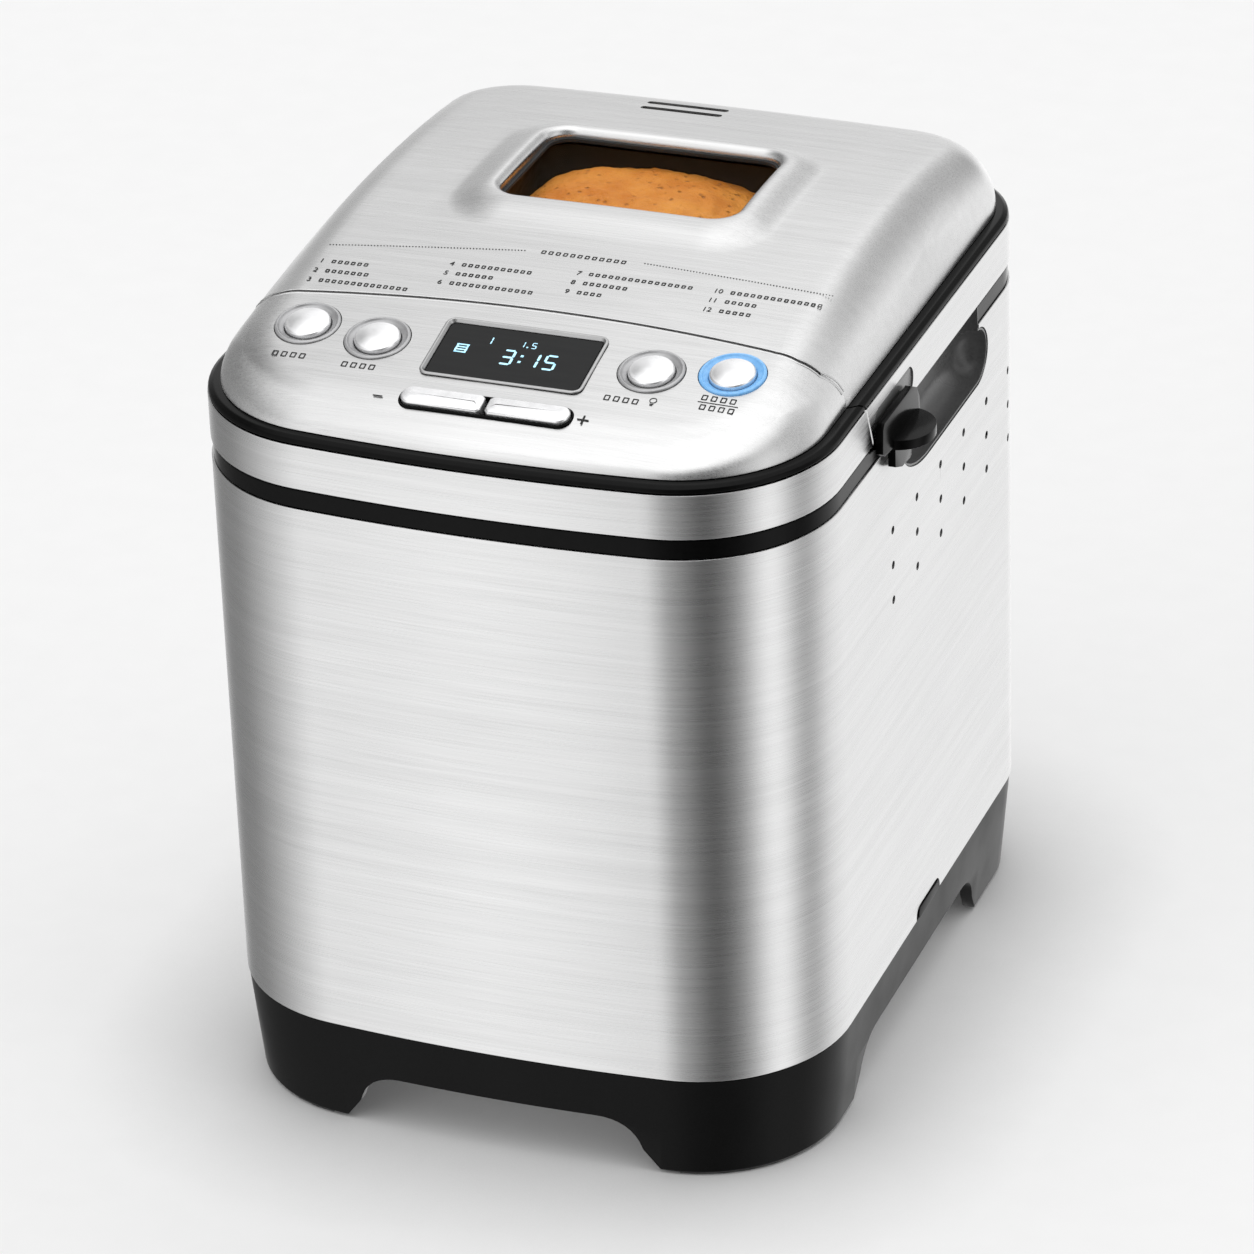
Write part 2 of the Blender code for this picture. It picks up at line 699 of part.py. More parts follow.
def make_pan(nonstick, steel):
    """The bread pan, its bail, the paddle and the shaft that turns it."""
    lift = axis_empty("pan_axis", (0, OVEN_Y, PAN_FLOOR))
    foot, rim = PAN_FOOT_HALF, PAN_RIM_HALF
    pan = loft(
        "bread_pan",
        [
            at_height(rounded_loop(foot[0] - 0.004, foot[1] - 0.004, 0.016, OVEN_Y), PAN_FLOOR),
            at_height(rounded_loop(*foot, 0.018, OVEN_Y), PAN_FLOOR + 0.004),
            at_height(rounded_loop(*rim, 0.020, OVEN_Y), PAN_TOP - 0.002),
            at_height(rounded_loop(rim[0] + 0.0032, rim[1] + 0.0032, 0.0225, OVEN_Y), PAN_TOP - 0.002),
            at_height(rounded_loop(rim[0] + 0.0032, rim[1] + 0.0032, 0.0225, OVEN_Y), PAN_TOP),
            at_height(rounded_loop(rim[0] - 0.0014, rim[1] - 0.0014, 0.0186, OVEN_Y), PAN_TOP),
            at_height(rounded_loop(foot[0] - 0.0014, foot[1] - 0.0014, 0.0166, OVEN_Y), PAN_FLOOR + 0.005),
            at_height(rounded_loop(foot[0] - 0.005, foot[1] - 0.005, 0.015, OVEN_Y), PAN_FLOOR + 0.0016),
        ],
        nonstick,
        (0, OVEN_Y, PAN_FLOOR),
    )
    ring = lathe(
        "pan_foot_ring",
        [(0.0325, -0.0135), (0.0360, -0.0135), (0.0360, 0.0010), (0.0325, 0.0010)],
        at=(0, OVEN_Y, PAN_FLOOR),
        steps=24,
        closed=True,
    )
    fuse(pan, ring)
    cut(pan, drill("pan_hole", SHAFT_RADIUS + GAP, (0, OVEN_Y, PAN_FLOOR), 20))
    for side in (-1, 1):
        inner, outer = sorted((side * 0.0644, side * 0.0661))
        front, back = OVEN_Y - 0.006, OVEN_Y + 0.006
        ear = block(f"bail_ear_{side}", (inner, front, 0.205), (outer, back, PAN_TOP - 0.001))
        pin_hole = lathe(
            f"bail_hole_{side}",
            [(0, -0.005), (WIRE_RADIUS + GAP, -0.005), (WIRE_RADIUS + GAP, 0.005), (0, 0.005)],
            at=(side * 0.0655, OVEN_Y, BAIL_Z),
            steps=12,
        )
        pin_hole.rotation_euler.y = math.pi / 2
        fuse(pan, ear)
        cut(pan, pin_hole)
    fasten(pan, lift)
    bail_axis = axis_empty("bail_axis", (0, OVEN_Y, BAIL_Z))
    reach, bend = OVEN_Y + BAIL_REACH, 0.018
    right = [(0.0638, OVEN_Y), (BAIL_X - 0.0008, OVEN_Y), (BAIL_X, OVEN_Y + 0.0012)]
    right += arc((BAIL_X - bend, reach - bend), bend, 0, math.pi / 2, 5) + [(BAIL_X - bend, reach)]
    bail = [(a, b, BAIL_Z) for a, b in right + [(-a, b) for a, b in reversed(right)]]
    fasten(rod("pan_handle", bail, WIRE_RADIUS, steel, bail_axis.location), bail_axis)
    fasten(bail_axis, lift)
    spin = axis_empty("paddle_axis", (0, OVEN_Y, PAN_FLOOR))
    profile = [
        (0, -0.0140),
        (0.0030, -0.0140),
        (SHAFT_RADIUS, -0.0130),
        (SHAFT_RADIUS, 0.0265),
        (0.0032, 0.0275),
        (0, 0.0275),
    ]
    shaft = lathe("paddle_shaft", profile, steel, (0, OVEN_Y, PAN_FLOOR), 20)
    fuse(shaft, block("shaft_bar", (-0.0085, OVEN_Y - 0.0018, 0.0668), (0.0085, OVEN_Y + 0.0018, 0.0718)))
    fasten(shaft, spin)
    hub = lathe(
        "kneading_paddle",
        [(0.0044, 0.0080), (0.0092, 0.0080), (0.0080, 0.0270), (0.0044, 0.0270)],
        nonstick,
        (0, OVEN_Y, PAN_FLOOR),
        20,
        closed=True,
    )
    blade = [
        (0.0060, 0.0885),
        (0.0420, 0.0885),
        (0.0445, 0.0930),
        (0.0400, 0.1100),
        (0.0340, 0.1120),
        (0.0060, 0.1020),
    ]
    fuse(hub, cross_prism("paddle_blade", blade, OVEN_Y - 0.0016, OVEN_Y + 0.0016, "Y"))
    fasten(hub, spin)
    fasten(spin, lift)


# ---- Drive ----
def make_drive(steel, black, rubber, copper):
    spin = axis_empty("spindle_axis", (0, OVEN_Y, OVEN_FLOOR))
    profile = [
        (0, -0.0215),
        (SHAFT_RADIUS, -0.0215),
        (SHAFT_RADIUS, 0.0025),
        (0.0110, 0.0025),
        (0.0110, 0.0045),
        (0, 0.0045),
    ]
    spindle = lathe("drive_spindle", profile, steel, (0, OVEN_Y, OVEN_FLOOR), 20)
    for side in (-1, 1):
        low, high = sorted((side * 0.0040, side * 0.0095))
        dog = block(f"drive_dog_{side}", (-0.0035, OVEN_Y + low, 0.0620), (0.0035, OVEN_Y + high, 0.0700))
        fuse(spindle, dog)
    fasten(spindle, spin)
    wheel = [
        (SHAFT_RADIUS + GAP, -0.0018),
        (LARGE_PULLEY + 0.0028, -0.0018),
        (LARGE_PULLEY + 0.0028, -0.0004),
        (LARGE_PULLEY, -0.0004),
        (LARGE_PULLEY, 0.0084),
        (LARGE_PULLEY + 0.0028, 0.0084),
        (LARGE_PULLEY + 0.0028, 0.0094),
        (SHAFT_RADIUS + GAP, 0.0094),
    ]
    fasten(lathe("large_pulley", wheel, black, (0, OVEN_Y, BELT_Z[0]), 28, closed=True), spin)
    turn = axis_empty("motor_axis", (*MOTOR_XY, BELT_Z[0]))
    pinion = [
        (0, -0.0030),
        (MOTOR_PULLEY + 0.0025, -0.0030),
        (MOTOR_PULLEY + 0.0025, -0.0004),
        (MOTOR_PULLEY, -0.0004),
        (MOTOR_PULLEY, 0.0084),
        (MOTOR_PULLEY + 0.0025, 0.0084),
        (MOTOR_PULLEY + 0.0025, 0.0100),
        (0.0030, 0.0100),
        (0.0030, 0.0300),
        (0, 0.0300),
    ]
    fasten(lathe("motor_pulley", pinion, steel, (*MOTOR_XY, BELT_Z[0]), 16), turn)
    outer = belt_loop(GAP + BELT)
    inner = belt_loop(GAP)
    low, high = BELT_Z
    rings = [at_height(outer, low), at_height(outer, high), at_height(inner, high), at_height(inner, low)]
    loft("drive_belt", rings, rubber, (*MOTOR_XY, low), closed=True)
    can = [
        (0, 0.0180),
        (0.0036, 0.0180),
        (0.0036, 0.0),
        (0.0100, 0.0),
        (0.0100, 0.0020),
        (0.0300, 0.0020),
        (0.0300, 0.0560),
        (0.0120, 0.0600),
        (0, 0.0600),
    ]
    lathe("drive_motor", can, copper, (*MOTOR_XY, 0.0545), 20)
    x, y = MOTOR_XY
    low, high = (x - 0.0345, y - 0.024, 0.0350), (x + 0.0345, y + 0.024, 0.0560)
    bracket = block("motor_bracket", low, high, steel, (x, y, 0.0540))
    cut(
        bracket,
        block("bracket_hollow", (x - 0.0325, y - 0.040, 0.0300), (x + 0.0325, y + 0.040, 0.0540)),
        drill("bracket_hole", 0.0104, (x, y, 0.0650), 20),
        prism("bracket_seat", arc((x, y), 0.0304, 0, math.tau, 28), 0.0562, 0.0600),
    )


def belt_loop(away):
    """The belt's line round both pulleys, that far outside them."""
    small, large = MOTOR_PULLEY + away, LARGE_PULLEY + away
    run = Vector((-MOTOR_XY[0], OVEN_Y - MOTOR_XY[1]))
    heading = math.atan2(run.y, run.x)
    lean = math.acos((large - small) / run.length)
    loop = arc((0, OVEN_Y), large, heading - math.pi + lean, heading + math.pi - lean, 20)
    loop += arc((0, OVEN_Y), large, heading + math.pi - lean, heading + math.pi - lean + 0.01, 1)
    loop += arc(MOTOR_XY, small, heading + math.pi - lean, heading + math.pi + lean, 10)
    loop += arc(MOTOR_XY, small, heading + math.pi + lean, heading + math.pi + lean + 0.01, 1)
    return loop


# ---- Control housing ----
def make_controls(steel, black, grey, white, blue, glass, board):
    fascia = keep(dome("control_fascia", 0.0, RIM_Z), panel_side("panel_keep"))
    fascia.data.materials.append(steel)
    fascia.hide_render = False
    fascia.display_type = "TEXTURED"
    cut(fascia, keep(dome("fascia_core", SHEET, RIM_Z - 0.002), panel_side("fascia_core_keep", SHEET)))
    for name, (x, y) in BUTTONS.items():
        cut(fascia, set_on_panel(drill(f"{name}_hole", RING_RADIUS + GAP, steps=20), x, y))
        push_button(name, x, y, white, blue if name == "start" else grey)
    half_x, half_y = DISPLAY_HALF
    hole = prism("display_hole", rounded_loop(half_x + 0.0012, half_y + 0.0012, 0.003), -0.02, 0.02)
    cut(fascia, set_on_panel(hole, 0, DISPLAY_Y))
    slot_half = KEY_X + KEY_HALF[0] + 0.0010
    slot = prism("key_slot", rounded_loop(slot_half, KEY_HALF[1] + 0.0010, 0.0046), -0.02, 0.02)
    cut(fascia, set_on_panel(slot, 0, KEYS_Y))
    display(steel, glass, black, board)
    keys(white, black)
    trim = [
        (-0.0006, TRIM_Z + GAP),
        (-0.0001, 0.2617),
        (-0.0005, 0.2628),
        (-0.0020, 0.2637),
        (-0.0044, 0.2640),
        (-0.0062, 0.2640),
        (-0.0062, 0.2580),
        (-SHEET - GAP, 0.2580),
        (-SHEET - GAP, TRIM_Z + GAP),
    ]
    strip = [(0, SPLIT_Z + GAP), (0, TRIM_Z), (-SHEET, TRIM_Z), (-SHEET, SPLIT_Z + GAP)]
    keep(band("control_trim", trim, black, (0, 0, TRIM_Z)), panel_side("trim_keep"))
    keep(band("control_band", strip, steel, (0, 0, SPLIT_Z)), panel_side("band_keep"))
    tray = prism("control_tray", body_outline(-0.0066), SPLIT_Z + GAP, 0.2639, black, (0, -0.09, SPLIT_Z))
    keep(tray, panel_side("tray_keep"))
    core = prism("tray_core", body_outline(-0.0086), SPLIT_Z + GAP + MOULDED, 0.290)
    cut(tray, keep(core, panel_side("tray_core_keep", MOULDED)))
    return trim, strip


def set_on_panel(piece, x, y, height=0.0):
    """Stands a piece, built about the origin, on the panel with its Z axis along the panel's normal."""
    piece.location = on_panel(x, y, height)
    piece.rotation_euler.x = top_tilt(y)
    return piece


def push_button(name, x, y, cap_finish, ring_finish):
    seat = [
        (BUTTON_RADIUS + GAP, -0.0028),
        (RING_RADIUS, -0.0028),
        (RING_RADIUS, 0.0002),
        (RING_RADIUS - 0.0006, 0.0006),
        (RING_RADIUS - 0.0012, 0.0001),
        (BUTTON_RADIUS + GAP, -0.0006),
    ]
    set_on_panel(lathe(f"{name}_ring", seat, ring_finish, steps=24, closed=True), x, y)
    cap = [
        (0, -0.0056),
        (0.0030, -0.0056),
        (0.0030, -0.0044),
        (0.0095, -0.0044),
        (0.0095, -0.0032),
        (BUTTON_RADIUS, -0.0032),
        (BUTTON_RADIUS, 0.0004),
        (BUTTON_RADIUS - 0.0008, 0.0012),
        (BUTTON_RADIUS * 0.55, 0.0019),
        (0, 0.0022),
    ]
    set_on_panel(lathe(f"{name}_button", cap, cap_finish, steps=20), x, y)


def display(steel, glass, black, board):
    half_x, half_y = DISPLAY_HALF
    frame = [
        (0.0009, -0.0020),
        (0.0009, 0.0003),
        (0.0022, 0.0003),
        (0.0020, 0.0009),
        (0.0008, 0.0011),
        (0.0002, -0.0004),
        (0.0002, -0.0020),
    ]
    rings = [at_height(rounded_loop(half_x + g, half_y + g, 0.0016 + g), z) for g, z in frame]
    set_on_panel(loft("display_bezel", rings, steel, closed=True), 0, DISPLAY_Y)
    pane = rounded_loop(half_x - 0.0001, half_y - 0.0001, 0.0015)
    set_on_panel(prism("display_lens", pane, -0.0022, -0.0006, glass), 0, DISPLAY_Y)
    cell = rounded_loop(half_x - 0.0010, half_y - 0.0006, 0.001)
    set_on_panel(prism("display_module", cell, -0.0075, -0.0025, black), 0, DISPLAY_Y)
    card = prism("control_board", rounded_loop(0.0860, 0.0170, 0.002), -0.0094, -0.0079, board)
    set_on_panel(card, 0, DISPLAY_Y)


def keys(white, black):
    reach = KEY_X + KEY_HALF[0] + 0.0007
    outer = rounded_loop(reach, KEY_HALF[1] + 0.0007, 0.0043)
    inner = rounded_loop(reach - 0.0003, KEY_HALF[1] + 0.0004, 0.0040)
    top = 0.0002
    well = [at_height(outer, -0.0050), at_height(outer, top)]
    well += [at_height(inner, top), at_height(inner, -0.0042)]
    set_on_panel(loft("key_well", well, black), 0, KEYS_Y)
    for name, side in (("minus", -1), ("plus", 1)):
        rings = []
        for grow, z in ((0.0, -0.0028), (0.0, 0.0010), (-0.0006, 0.0017), (-0.0016, 0.0020)):
            rings.append([Vector((side * x, y, z)) for x, y in key_outline(grow)])
        key = loft(f"{name}_key", rings, white)
        set_on_panel(key, side * KEY_X, KEYS_Y)


def key_outline(grow):
    """Half of a pill: square at the machine's middle, round at its outer end."""
    x, y = KEY_HALF[0] + grow, KEY_HALF[1] + grow
    radius = y - 0.0002
    inner = 0.0012  # chamfer next to the other key
    outline = arc((x - radius, -y + radius), radius, -math.pi / 2, 0, 5)
    outline += arc((x - radius, y - radius), radius, 0, math.pi / 2, 5)
    outline += [(x - radius, y), (-x + inner, y), (-x, y - inner), (-x, -y + inner), (-x + inner, -y)]
    return outline


# ---- Lid ----
def make_lid(steel, black, grey, glass, liner_finish, trim, strip):
    hinge = axis_empty("lid_axis", (0, HINGE_Y, HINGE_Z))
    cover = keep(dome("lid_cover", 0.0, RIM_Z), lid_side("cover_keep"))
    cover.data.materials.append(steel)
    cover.hide_render = False
    cover.display_type = "TEXTURED"
    cut(cover, keep(dome("cover_core", SHEET, RIM_Z - 0.002), lid_side("cover_core_keep", SHEET)))
    well = rounded_loop(WINDOW_HALF[0] + 0.006, WINDOW_HALF[1] + 0.006, 0.014, WINDOW_Y)
    cut(cover, prism("lip_trim", well, 0.255, 0.2920))
    for k, y in enumerate(VENT_SLOTS_Y):
        slot = [(x + VENT_SLOTS_X, b) for x, b in rounded_loop(0.0152, 0.0011, 0.0010, y)]
        cut(cover, prism(f"vent_slot_{k}", slot, 0.27, 0.31))
    backing = [(x + VENT_SLOTS_X, y) for x, y in rounded_loop(0.020, 0.008, 0.003, sum(VENT_SLOTS_Y) / 2)]
    grille = prism("vent_grille", backing, 0.2835, 0.2850, black)
    bead = band("lid_trim", trim, black, (0, 0, TRIM_Z))
    keep(bead, lid_side("lid_trim_keep"))
    ring = band("lid_band", strip, steel, (0, 0, SPLIT_Z))
    keep(ring, lid_side("lid_band_keep"))
    for piece in (cover, grille, bead, ring):
        fasten(piece, hinge)
    lid_inside(hinge, liner_finish, glass, black)
    lid_handle(hinge, black, grey, ring)
    lid_hinge(hinge, grey, steel)


def lid_inside(hinge, liner_finish, glass, black):
    low = SPLIT_Z + 0.0009
    liner = prism("lid_liner", body_outline(-0.0066), low, 0.2639, liner_finish, (0, WINDOW_Y, SPLIT_Z))
    keep(liner, lid_side("liner_keep"))
    core = prism("liner_core", body_outline(-0.0086), low + MOULDED, 0.290)
    cut(liner, keep(core, lid_side("liner_core_keep", MOULDED)))
    mouth, throat = (0.062, 0.060), (WINDOW_HALF[0] + 0.0025, WINDOW_HALF[1] + 0.0025)
    chimney = []
    for (hx, hy), z, middle in ((mouth, low, OVEN_Y), (throat, 0.2885, WINDOW_Y)):
        chimney.append(at_height(rounded_loop(hx + MOULDED, hy + MOULDED, 0.012, middle), z))
    flare = []
    for (hx, hy), z, middle in ((mouth, SPLIT_Z, OVEN_Y), (throat, 0.2890, WINDOW_Y)):
        flare.append(at_height(rounded_loop(hx, hy, 0.010, middle), z))
    fuse(liner, loft("liner_chimney", chimney))
    cut(liner, loft("liner_flare", flare))
    pane_loop = rounded_loop(WINDOW_HALF[0] + 0.0035, WINDOW_HALF[1] + 0.0035, 0.011, WINDOW_Y)
    pane = prism("window_glass", pane_loop, 0.2889, 0.2913, glass, (0, WINDOW_Y, 0.2889))
    rings = []
    for grow, z in ((0.0038, 0.2886), (0.0038, 0.2916), (0.0052, 0.2916), (0.0052, 0.2886)):
        loop = rounded_loop(WINDOW_HALF[0] + grow, WINDOW_HALF[1] + grow, 0.0077 + grow, WINDOW_Y)
        rings.append(at_height(loop, z))
    seal = loft("window_gasket", rings, black, (0, WINDOW_Y, 0.2886), closed=True)
    for piece in (liner, pane, seal):
        fasten(piece, hinge)


def lid_handle(hinge, black, grey, ring):
    """A black lifting tab on the right: an upright fin that hangs below a half-round shelf."""
    side = WIDTH / 2
    half_y, half_z = BACKING_HALF
    opening = [(y + BACKING_Y, z) for y, z in rounded_loop(half_y, half_z, half_z - 0.0002, BACKING_Z)]
    cut(ring, cross_prism("backing_cut", opening, side - 0.005, side + 0.005, "X"))
    half_y, half_z = half_y - GAP, half_z - GAP
    plug = [(y + BACKING_Y, z) for y, z in rounded_loop(half_y, half_z, half_z - 0.0002, BACKING_Z)]
    at = (side, BACKING_Y, BACKING_Z)
    fasten(cross_prism("handle_backing", plug, side - 0.0060, side - 0.0004, "X", grey, at), hinge)
    tab = cross_prism("lid_handle", FIN, side + 0.0008, side + 0.0034, "X", black, (side, TAB_Y, TAB_Z))
    root_x = side + 0.0010
    shelf = []
    for k in range(17):
        turn = math.pi * (k / 16 - 0.5)
        shelf.append((root_x + TAB_REACH * math.cos(turn), TAB_Y + TAB_HALF * math.sin(turn)))
    fuse(
        tab,
        prism("handle_shelf", shelf, TAB_Z - TAB_THICK / 2, TAB_Z + TAB_THICK / 2),
        block("handle_root", (side - 0.0002, -0.0330, 0.2465), (side + 0.0015, -0.0120, 0.2480)),
    )
    fasten(tab, hinge)


def lid_hinge(hinge, grey, steel):
    """Knuckles on the lid and on the body, on one pin behind the rear wall."""
    near, far = DEPTH / 2 + 0.0002 + GAP / 2, DEPTH / 2 + 0.0022
    at = (0, HINGE_Y, HINGE_Z)
    plate = block("lid_hinge_bracket", (-0.062, near, 0.2495), (0.062, far, 0.2580), grey, at)
    base = block("body_hinge_bracket", (-0.048, near, 0.2260), (0.048, far, 0.2360), grey, at)
    web = DEPTH / 2 + GAP
    for side in (-1, 1):
        low, high = sorted((side * 0.0450, side * 0.0590))
        fuse(plate, block(f"lid_web_{side}", (low + 0.001, web, 0.2463), (high - 0.001, HINGE_Y, 0.2520)))
        fuse(plate, hinge_bar(f"lid_knuckle_{side}", low, high, KNUCKLE_RADIUS))
        low, high = sorted((side * 0.0300, side * 0.0440))
        fuse(base, block(f"body_web_{side}", (low + 0.001, web, 0.2340), (high - 0.001, HINGE_Y, 0.2410)))
        fuse(base, hinge_bar(f"body_knuckle_{side}", low, high, KNUCKLE_RADIUS))
    bore = hinge_bar("hinge_bore", -0.070, 0.070, PIN_RADIUS + GAP)
    cut(plate, bore)
    cut(base, bore)
    fasten(plate, hinge)
    hinge_bar("hinge_pin", -0.0600, 0.0600, PIN_RADIUS, steel)


def hinge_bar(name, low, high, radius, colour=None):
    """A round bar along the lid's hinge axis."""
    profile = [(0, low), (radius, low), (radius, high), (0, high)]
    made = lathe(name, profile, colour, (0, HINGE_Y, HINGE_Z), 16)
    made.rotation_euler.y = math.pi / 2
    return made


def main():
    for old in list(bpy.data.objects):
        bpy.data.objects.remove(old, do_unlink=True)
    steel = finish("brushed_steel", (0.66, 0.655, 0.65), 0.30, 1.0)
    bright = finish("plain_steel", (0.55, 0.55, 0.55), 0.35, 1.0)
    tin = finish("coated_steel", (0.22, 0.22, 0.23), 0.45, 0.8)
    nonstick = finish("nonstick_coating", (0.06, 0.06, 0.065), 0.40, 0.3)
    black = finish("black_plastic", (0.014, 0.014, 0.014), 0.40)
    grey = finish("dark_grey_plastic", (0.09, 0.088, 0.085), 0.45)
    rubber = finish("rubber", (0.02, 0.02, 0.02), 0.80)
    white = finish("satin_button", (0.80, 0.80, 0.80), 0.25, 0.3)
    ring = finish("grey_ring", (0.42, 0.42, 0.42), 0.35, 0.4)
    blue = finish("lit_ring", (0.20, 0.46, 0.83), 0.30)
    lens = finish("display_glass", (0.006, 0.007, 0.009), 0.08)
    pane = finish("window_glass", (0.10, 0.10, 0.10), 0.05)
    board = finish("circuit_board", (0.02, 0.16, 0.07), 0.50)
    copper = finish("motor_can", (0.30, 0.27, 0.24), 0.40, 0.7)
    make_base(black, rubber, bright)
    make_body(steel, tin, black, grey)
    make_oven(tin, bright, pane)
    make_pan(nonstick, bright)
    make_drive(bright, black, rubber, copper)
    trim, strip = make_controls(steel, black, ring, white, blue, lens, board)
    make_lid(steel, black, grey, pane, tin, trim, strip)
    machine = axis_empty("machine", PLAN_CENTRE)
    for piece in bpy.data.objects:
        if piece.parent is None and piece != machine:
            piece.parent = machine


main()
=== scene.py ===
import json
import math

import bmesh
import bpy
from mathutils import Matrix, Vector
from mathutils import noise as field


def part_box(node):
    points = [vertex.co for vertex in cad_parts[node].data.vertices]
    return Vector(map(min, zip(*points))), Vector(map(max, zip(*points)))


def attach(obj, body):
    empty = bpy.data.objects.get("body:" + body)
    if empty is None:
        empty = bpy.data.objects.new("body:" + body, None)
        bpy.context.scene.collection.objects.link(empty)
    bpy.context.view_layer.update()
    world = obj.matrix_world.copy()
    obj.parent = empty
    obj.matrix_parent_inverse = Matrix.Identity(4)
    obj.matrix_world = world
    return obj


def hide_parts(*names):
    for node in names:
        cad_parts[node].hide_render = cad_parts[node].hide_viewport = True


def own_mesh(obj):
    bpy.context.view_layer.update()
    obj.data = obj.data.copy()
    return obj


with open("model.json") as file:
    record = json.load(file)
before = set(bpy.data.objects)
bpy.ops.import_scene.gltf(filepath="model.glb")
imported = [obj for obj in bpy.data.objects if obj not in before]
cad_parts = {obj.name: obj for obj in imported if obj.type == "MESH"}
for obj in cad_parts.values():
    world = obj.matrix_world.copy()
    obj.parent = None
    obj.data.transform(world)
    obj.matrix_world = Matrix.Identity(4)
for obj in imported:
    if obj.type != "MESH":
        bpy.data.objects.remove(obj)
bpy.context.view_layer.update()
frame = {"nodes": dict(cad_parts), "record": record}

# ---- Sizes in metres. Heights count from the ground, plan positions from the middle of the body's plan ----
BODY_LOW, BODY_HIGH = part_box("body_wrap")
PLAN = Vector(((BODY_LOW.x + BODY_HIGH.x) / 2, (BODY_LOW.y + BODY_HIGH.y) / 2, 0))
WIDTH = BODY_HIGH.x - BODY_LOW.x
DEPTH = BODY_HIGH.y - BODY_LOW.y
FRONT_BOW = 0.688  # radius of the slightly bowed front
FRONT_CORNER = 0.053
REAR_CORNER = 0.040
GAP = 0.0003
SHEET = 0.0010  # pressed steel
FAR = 0.200

# Levels
GROUND = 0.0010  # underside of the skirt, on its rubber pads
ARCH_Z = 0.0210
SKIRT_TOP = BODY_LOW.z
BODY_TOP = BODY_HIGH.z
SPLIT_Z = 0.2446  # the lid and the control housing begin here
TRIM_Z = 0.2608
RIM_Z = 0.2643

# Domed top
ARCH_PEAK = 0.2942
ARCH_Y = 0.027
ARCH_RADIUS = 0.526
CROWN_RADIUS = 3.4
RIM_OFFSET = -0.0046
ROLL_REACH = 0.020

# Window and its plinth
WINDOW_Y = 0.032
WINDOW_HALF = (0.043, 0.029)
WINDOW_CORNER = 0.009
PANE_LOW = 0.2889
PANE_TOP = 0.2913
PLINTH_HALF = (0.059, 0.046)
PLINTH_Y = 0.028
PLINTH_CORNER = 0.022
PLINTH_RISE = 0.0032
LIP = 0.0032

# Seam between the lid and the panel
SEAM_Y = -0.0630
SEAM_RADIUS = 0.705
SEAM_HALF = 0.092
SEAM_ENDS = (
    (0.099, -0.0680),
    (0.1045, -0.0620),
    (0.108, -0.0575),
    (0.111, -0.0548),
    (0.140, -0.0545),
)
SEAM_GAP = 0.0011
SEAM_LEAN = 0.008
SIDE_START = 0.107

# Controls
BUTTONS = {
    "menu": (-0.075, -0.085),
    "crust": (-0.0485, -0.0885),
    "size": (0.0475, -0.087),
    "start": (0.074, -0.0825),
}
BUTTON_RADIUS = 0.0078
RING_RADIUS = 0.0112
DISPLAY_Y = -0.0885
DISPLAY_HALF = (0.0268, 0.0135)
KEYS_Y = -0.1146
KEY_HALF = (0.0143, 0.0040)
KEY_X = 0.0151
PRINT = 0.00005  # thickness of the printed ink

# Right side
FINGER_Y = (-0.018, 0.0666)  # its mouth under the rim; it bulges behind and below that
FINGER_Z = 0.215
FINGER_FRONT = (0.029, 0.014)  # radii of its long front corner
FINGER_REAR = (0.0120, 0.0105)
TAB_Y = -0.0234  # middle of the half-round shelf
TAB_Z = 0.2400
TAB_HALF = 0.0133
TAB_REACH = 0.0122
TAB_THICK = 0.0034
FIN = ((-0.0480, 0.2420), (-0.0476, 0.2508), (-0.0460, 0.2526), (-0.0165, 0.2526))
FIN += ((-0.0120, 0.2503), (-0.0094, 0.2460), (-0.0090, 0.2385), (-0.0185, 0.2360), (-0.0185, 0.2282))
FIN += ((-0.0200, 0.2278), (-0.0282, 0.2284), (-0.0353, 0.2314), (-0.0353, 0.2395), (-0.0460, 0.2405))
CLIP_Y = 0.0045

# Rear
PANEL_FACE_Y = 0.1357
CORD_PLACE = (-0.045, PANEL_FACE_Y, 0.072)

# Pan and loaf
OVEN_Y = 0.031
LOAF_HALF = (0.0550, 0.0505)
LOAF_SIDE = 0.120  # height of the straight side under the crown
CROWN_Z = 0.2868
CROWN_DEPTH = 0.044

# Points along each half of a loop: front, front corner, side, rear corner, rear
FINE = (22, 20, 14, 16, 12)


# ---- Colours and nodes ----
def srgb(code):
    """A hex colour as linear red, green, blue and alpha."""
    parts = [int(code[i : i + 2], 16) / 255 for i in (1, 3, 5)]
    linear = [p / 12.92 if p <= 0.04045 else ((p + 0.055) / 1.055) ** 2.4 for p in parts]
    return (*linear, 1.0)


def add(tree, kind, settings=None, **inputs):
    """Adds a node. An input takes a value or another node's output; spaces in its name are written as _."""
    made = tree.nodes.new(kind)
    for name, value in (settings or {}).items():
        setattr(made, name, value)
    for name, value in inputs.items():
        key = int(name[2:]) if name.startswith("in") and name[2:].isdigit() else name.replace("_", " ")
        if isinstance(value, bpy.types.NodeSocket):
            tree.links.new(value, made.inputs[key])
        else:
            made.inputs[key].default_value = value
    return made


def new_material(name, **shader_inputs):
    """A Principled material, its tree, its shader and its Object coordinates."""
    made = bpy.data.materials.new(name)
    made.use_nodes = True
    tree = made.node_tree
    tree.nodes.clear()
    shader = add(tree, "ShaderNodeBsdfPrincipled", **shader_inputs)
    add(tree, "ShaderNodeOutputMaterial", Surface=shader.outputs[0])
    place = add(tree, "ShaderNodeTexCoord").outputs["Object"]
    return made, tree, shader, place


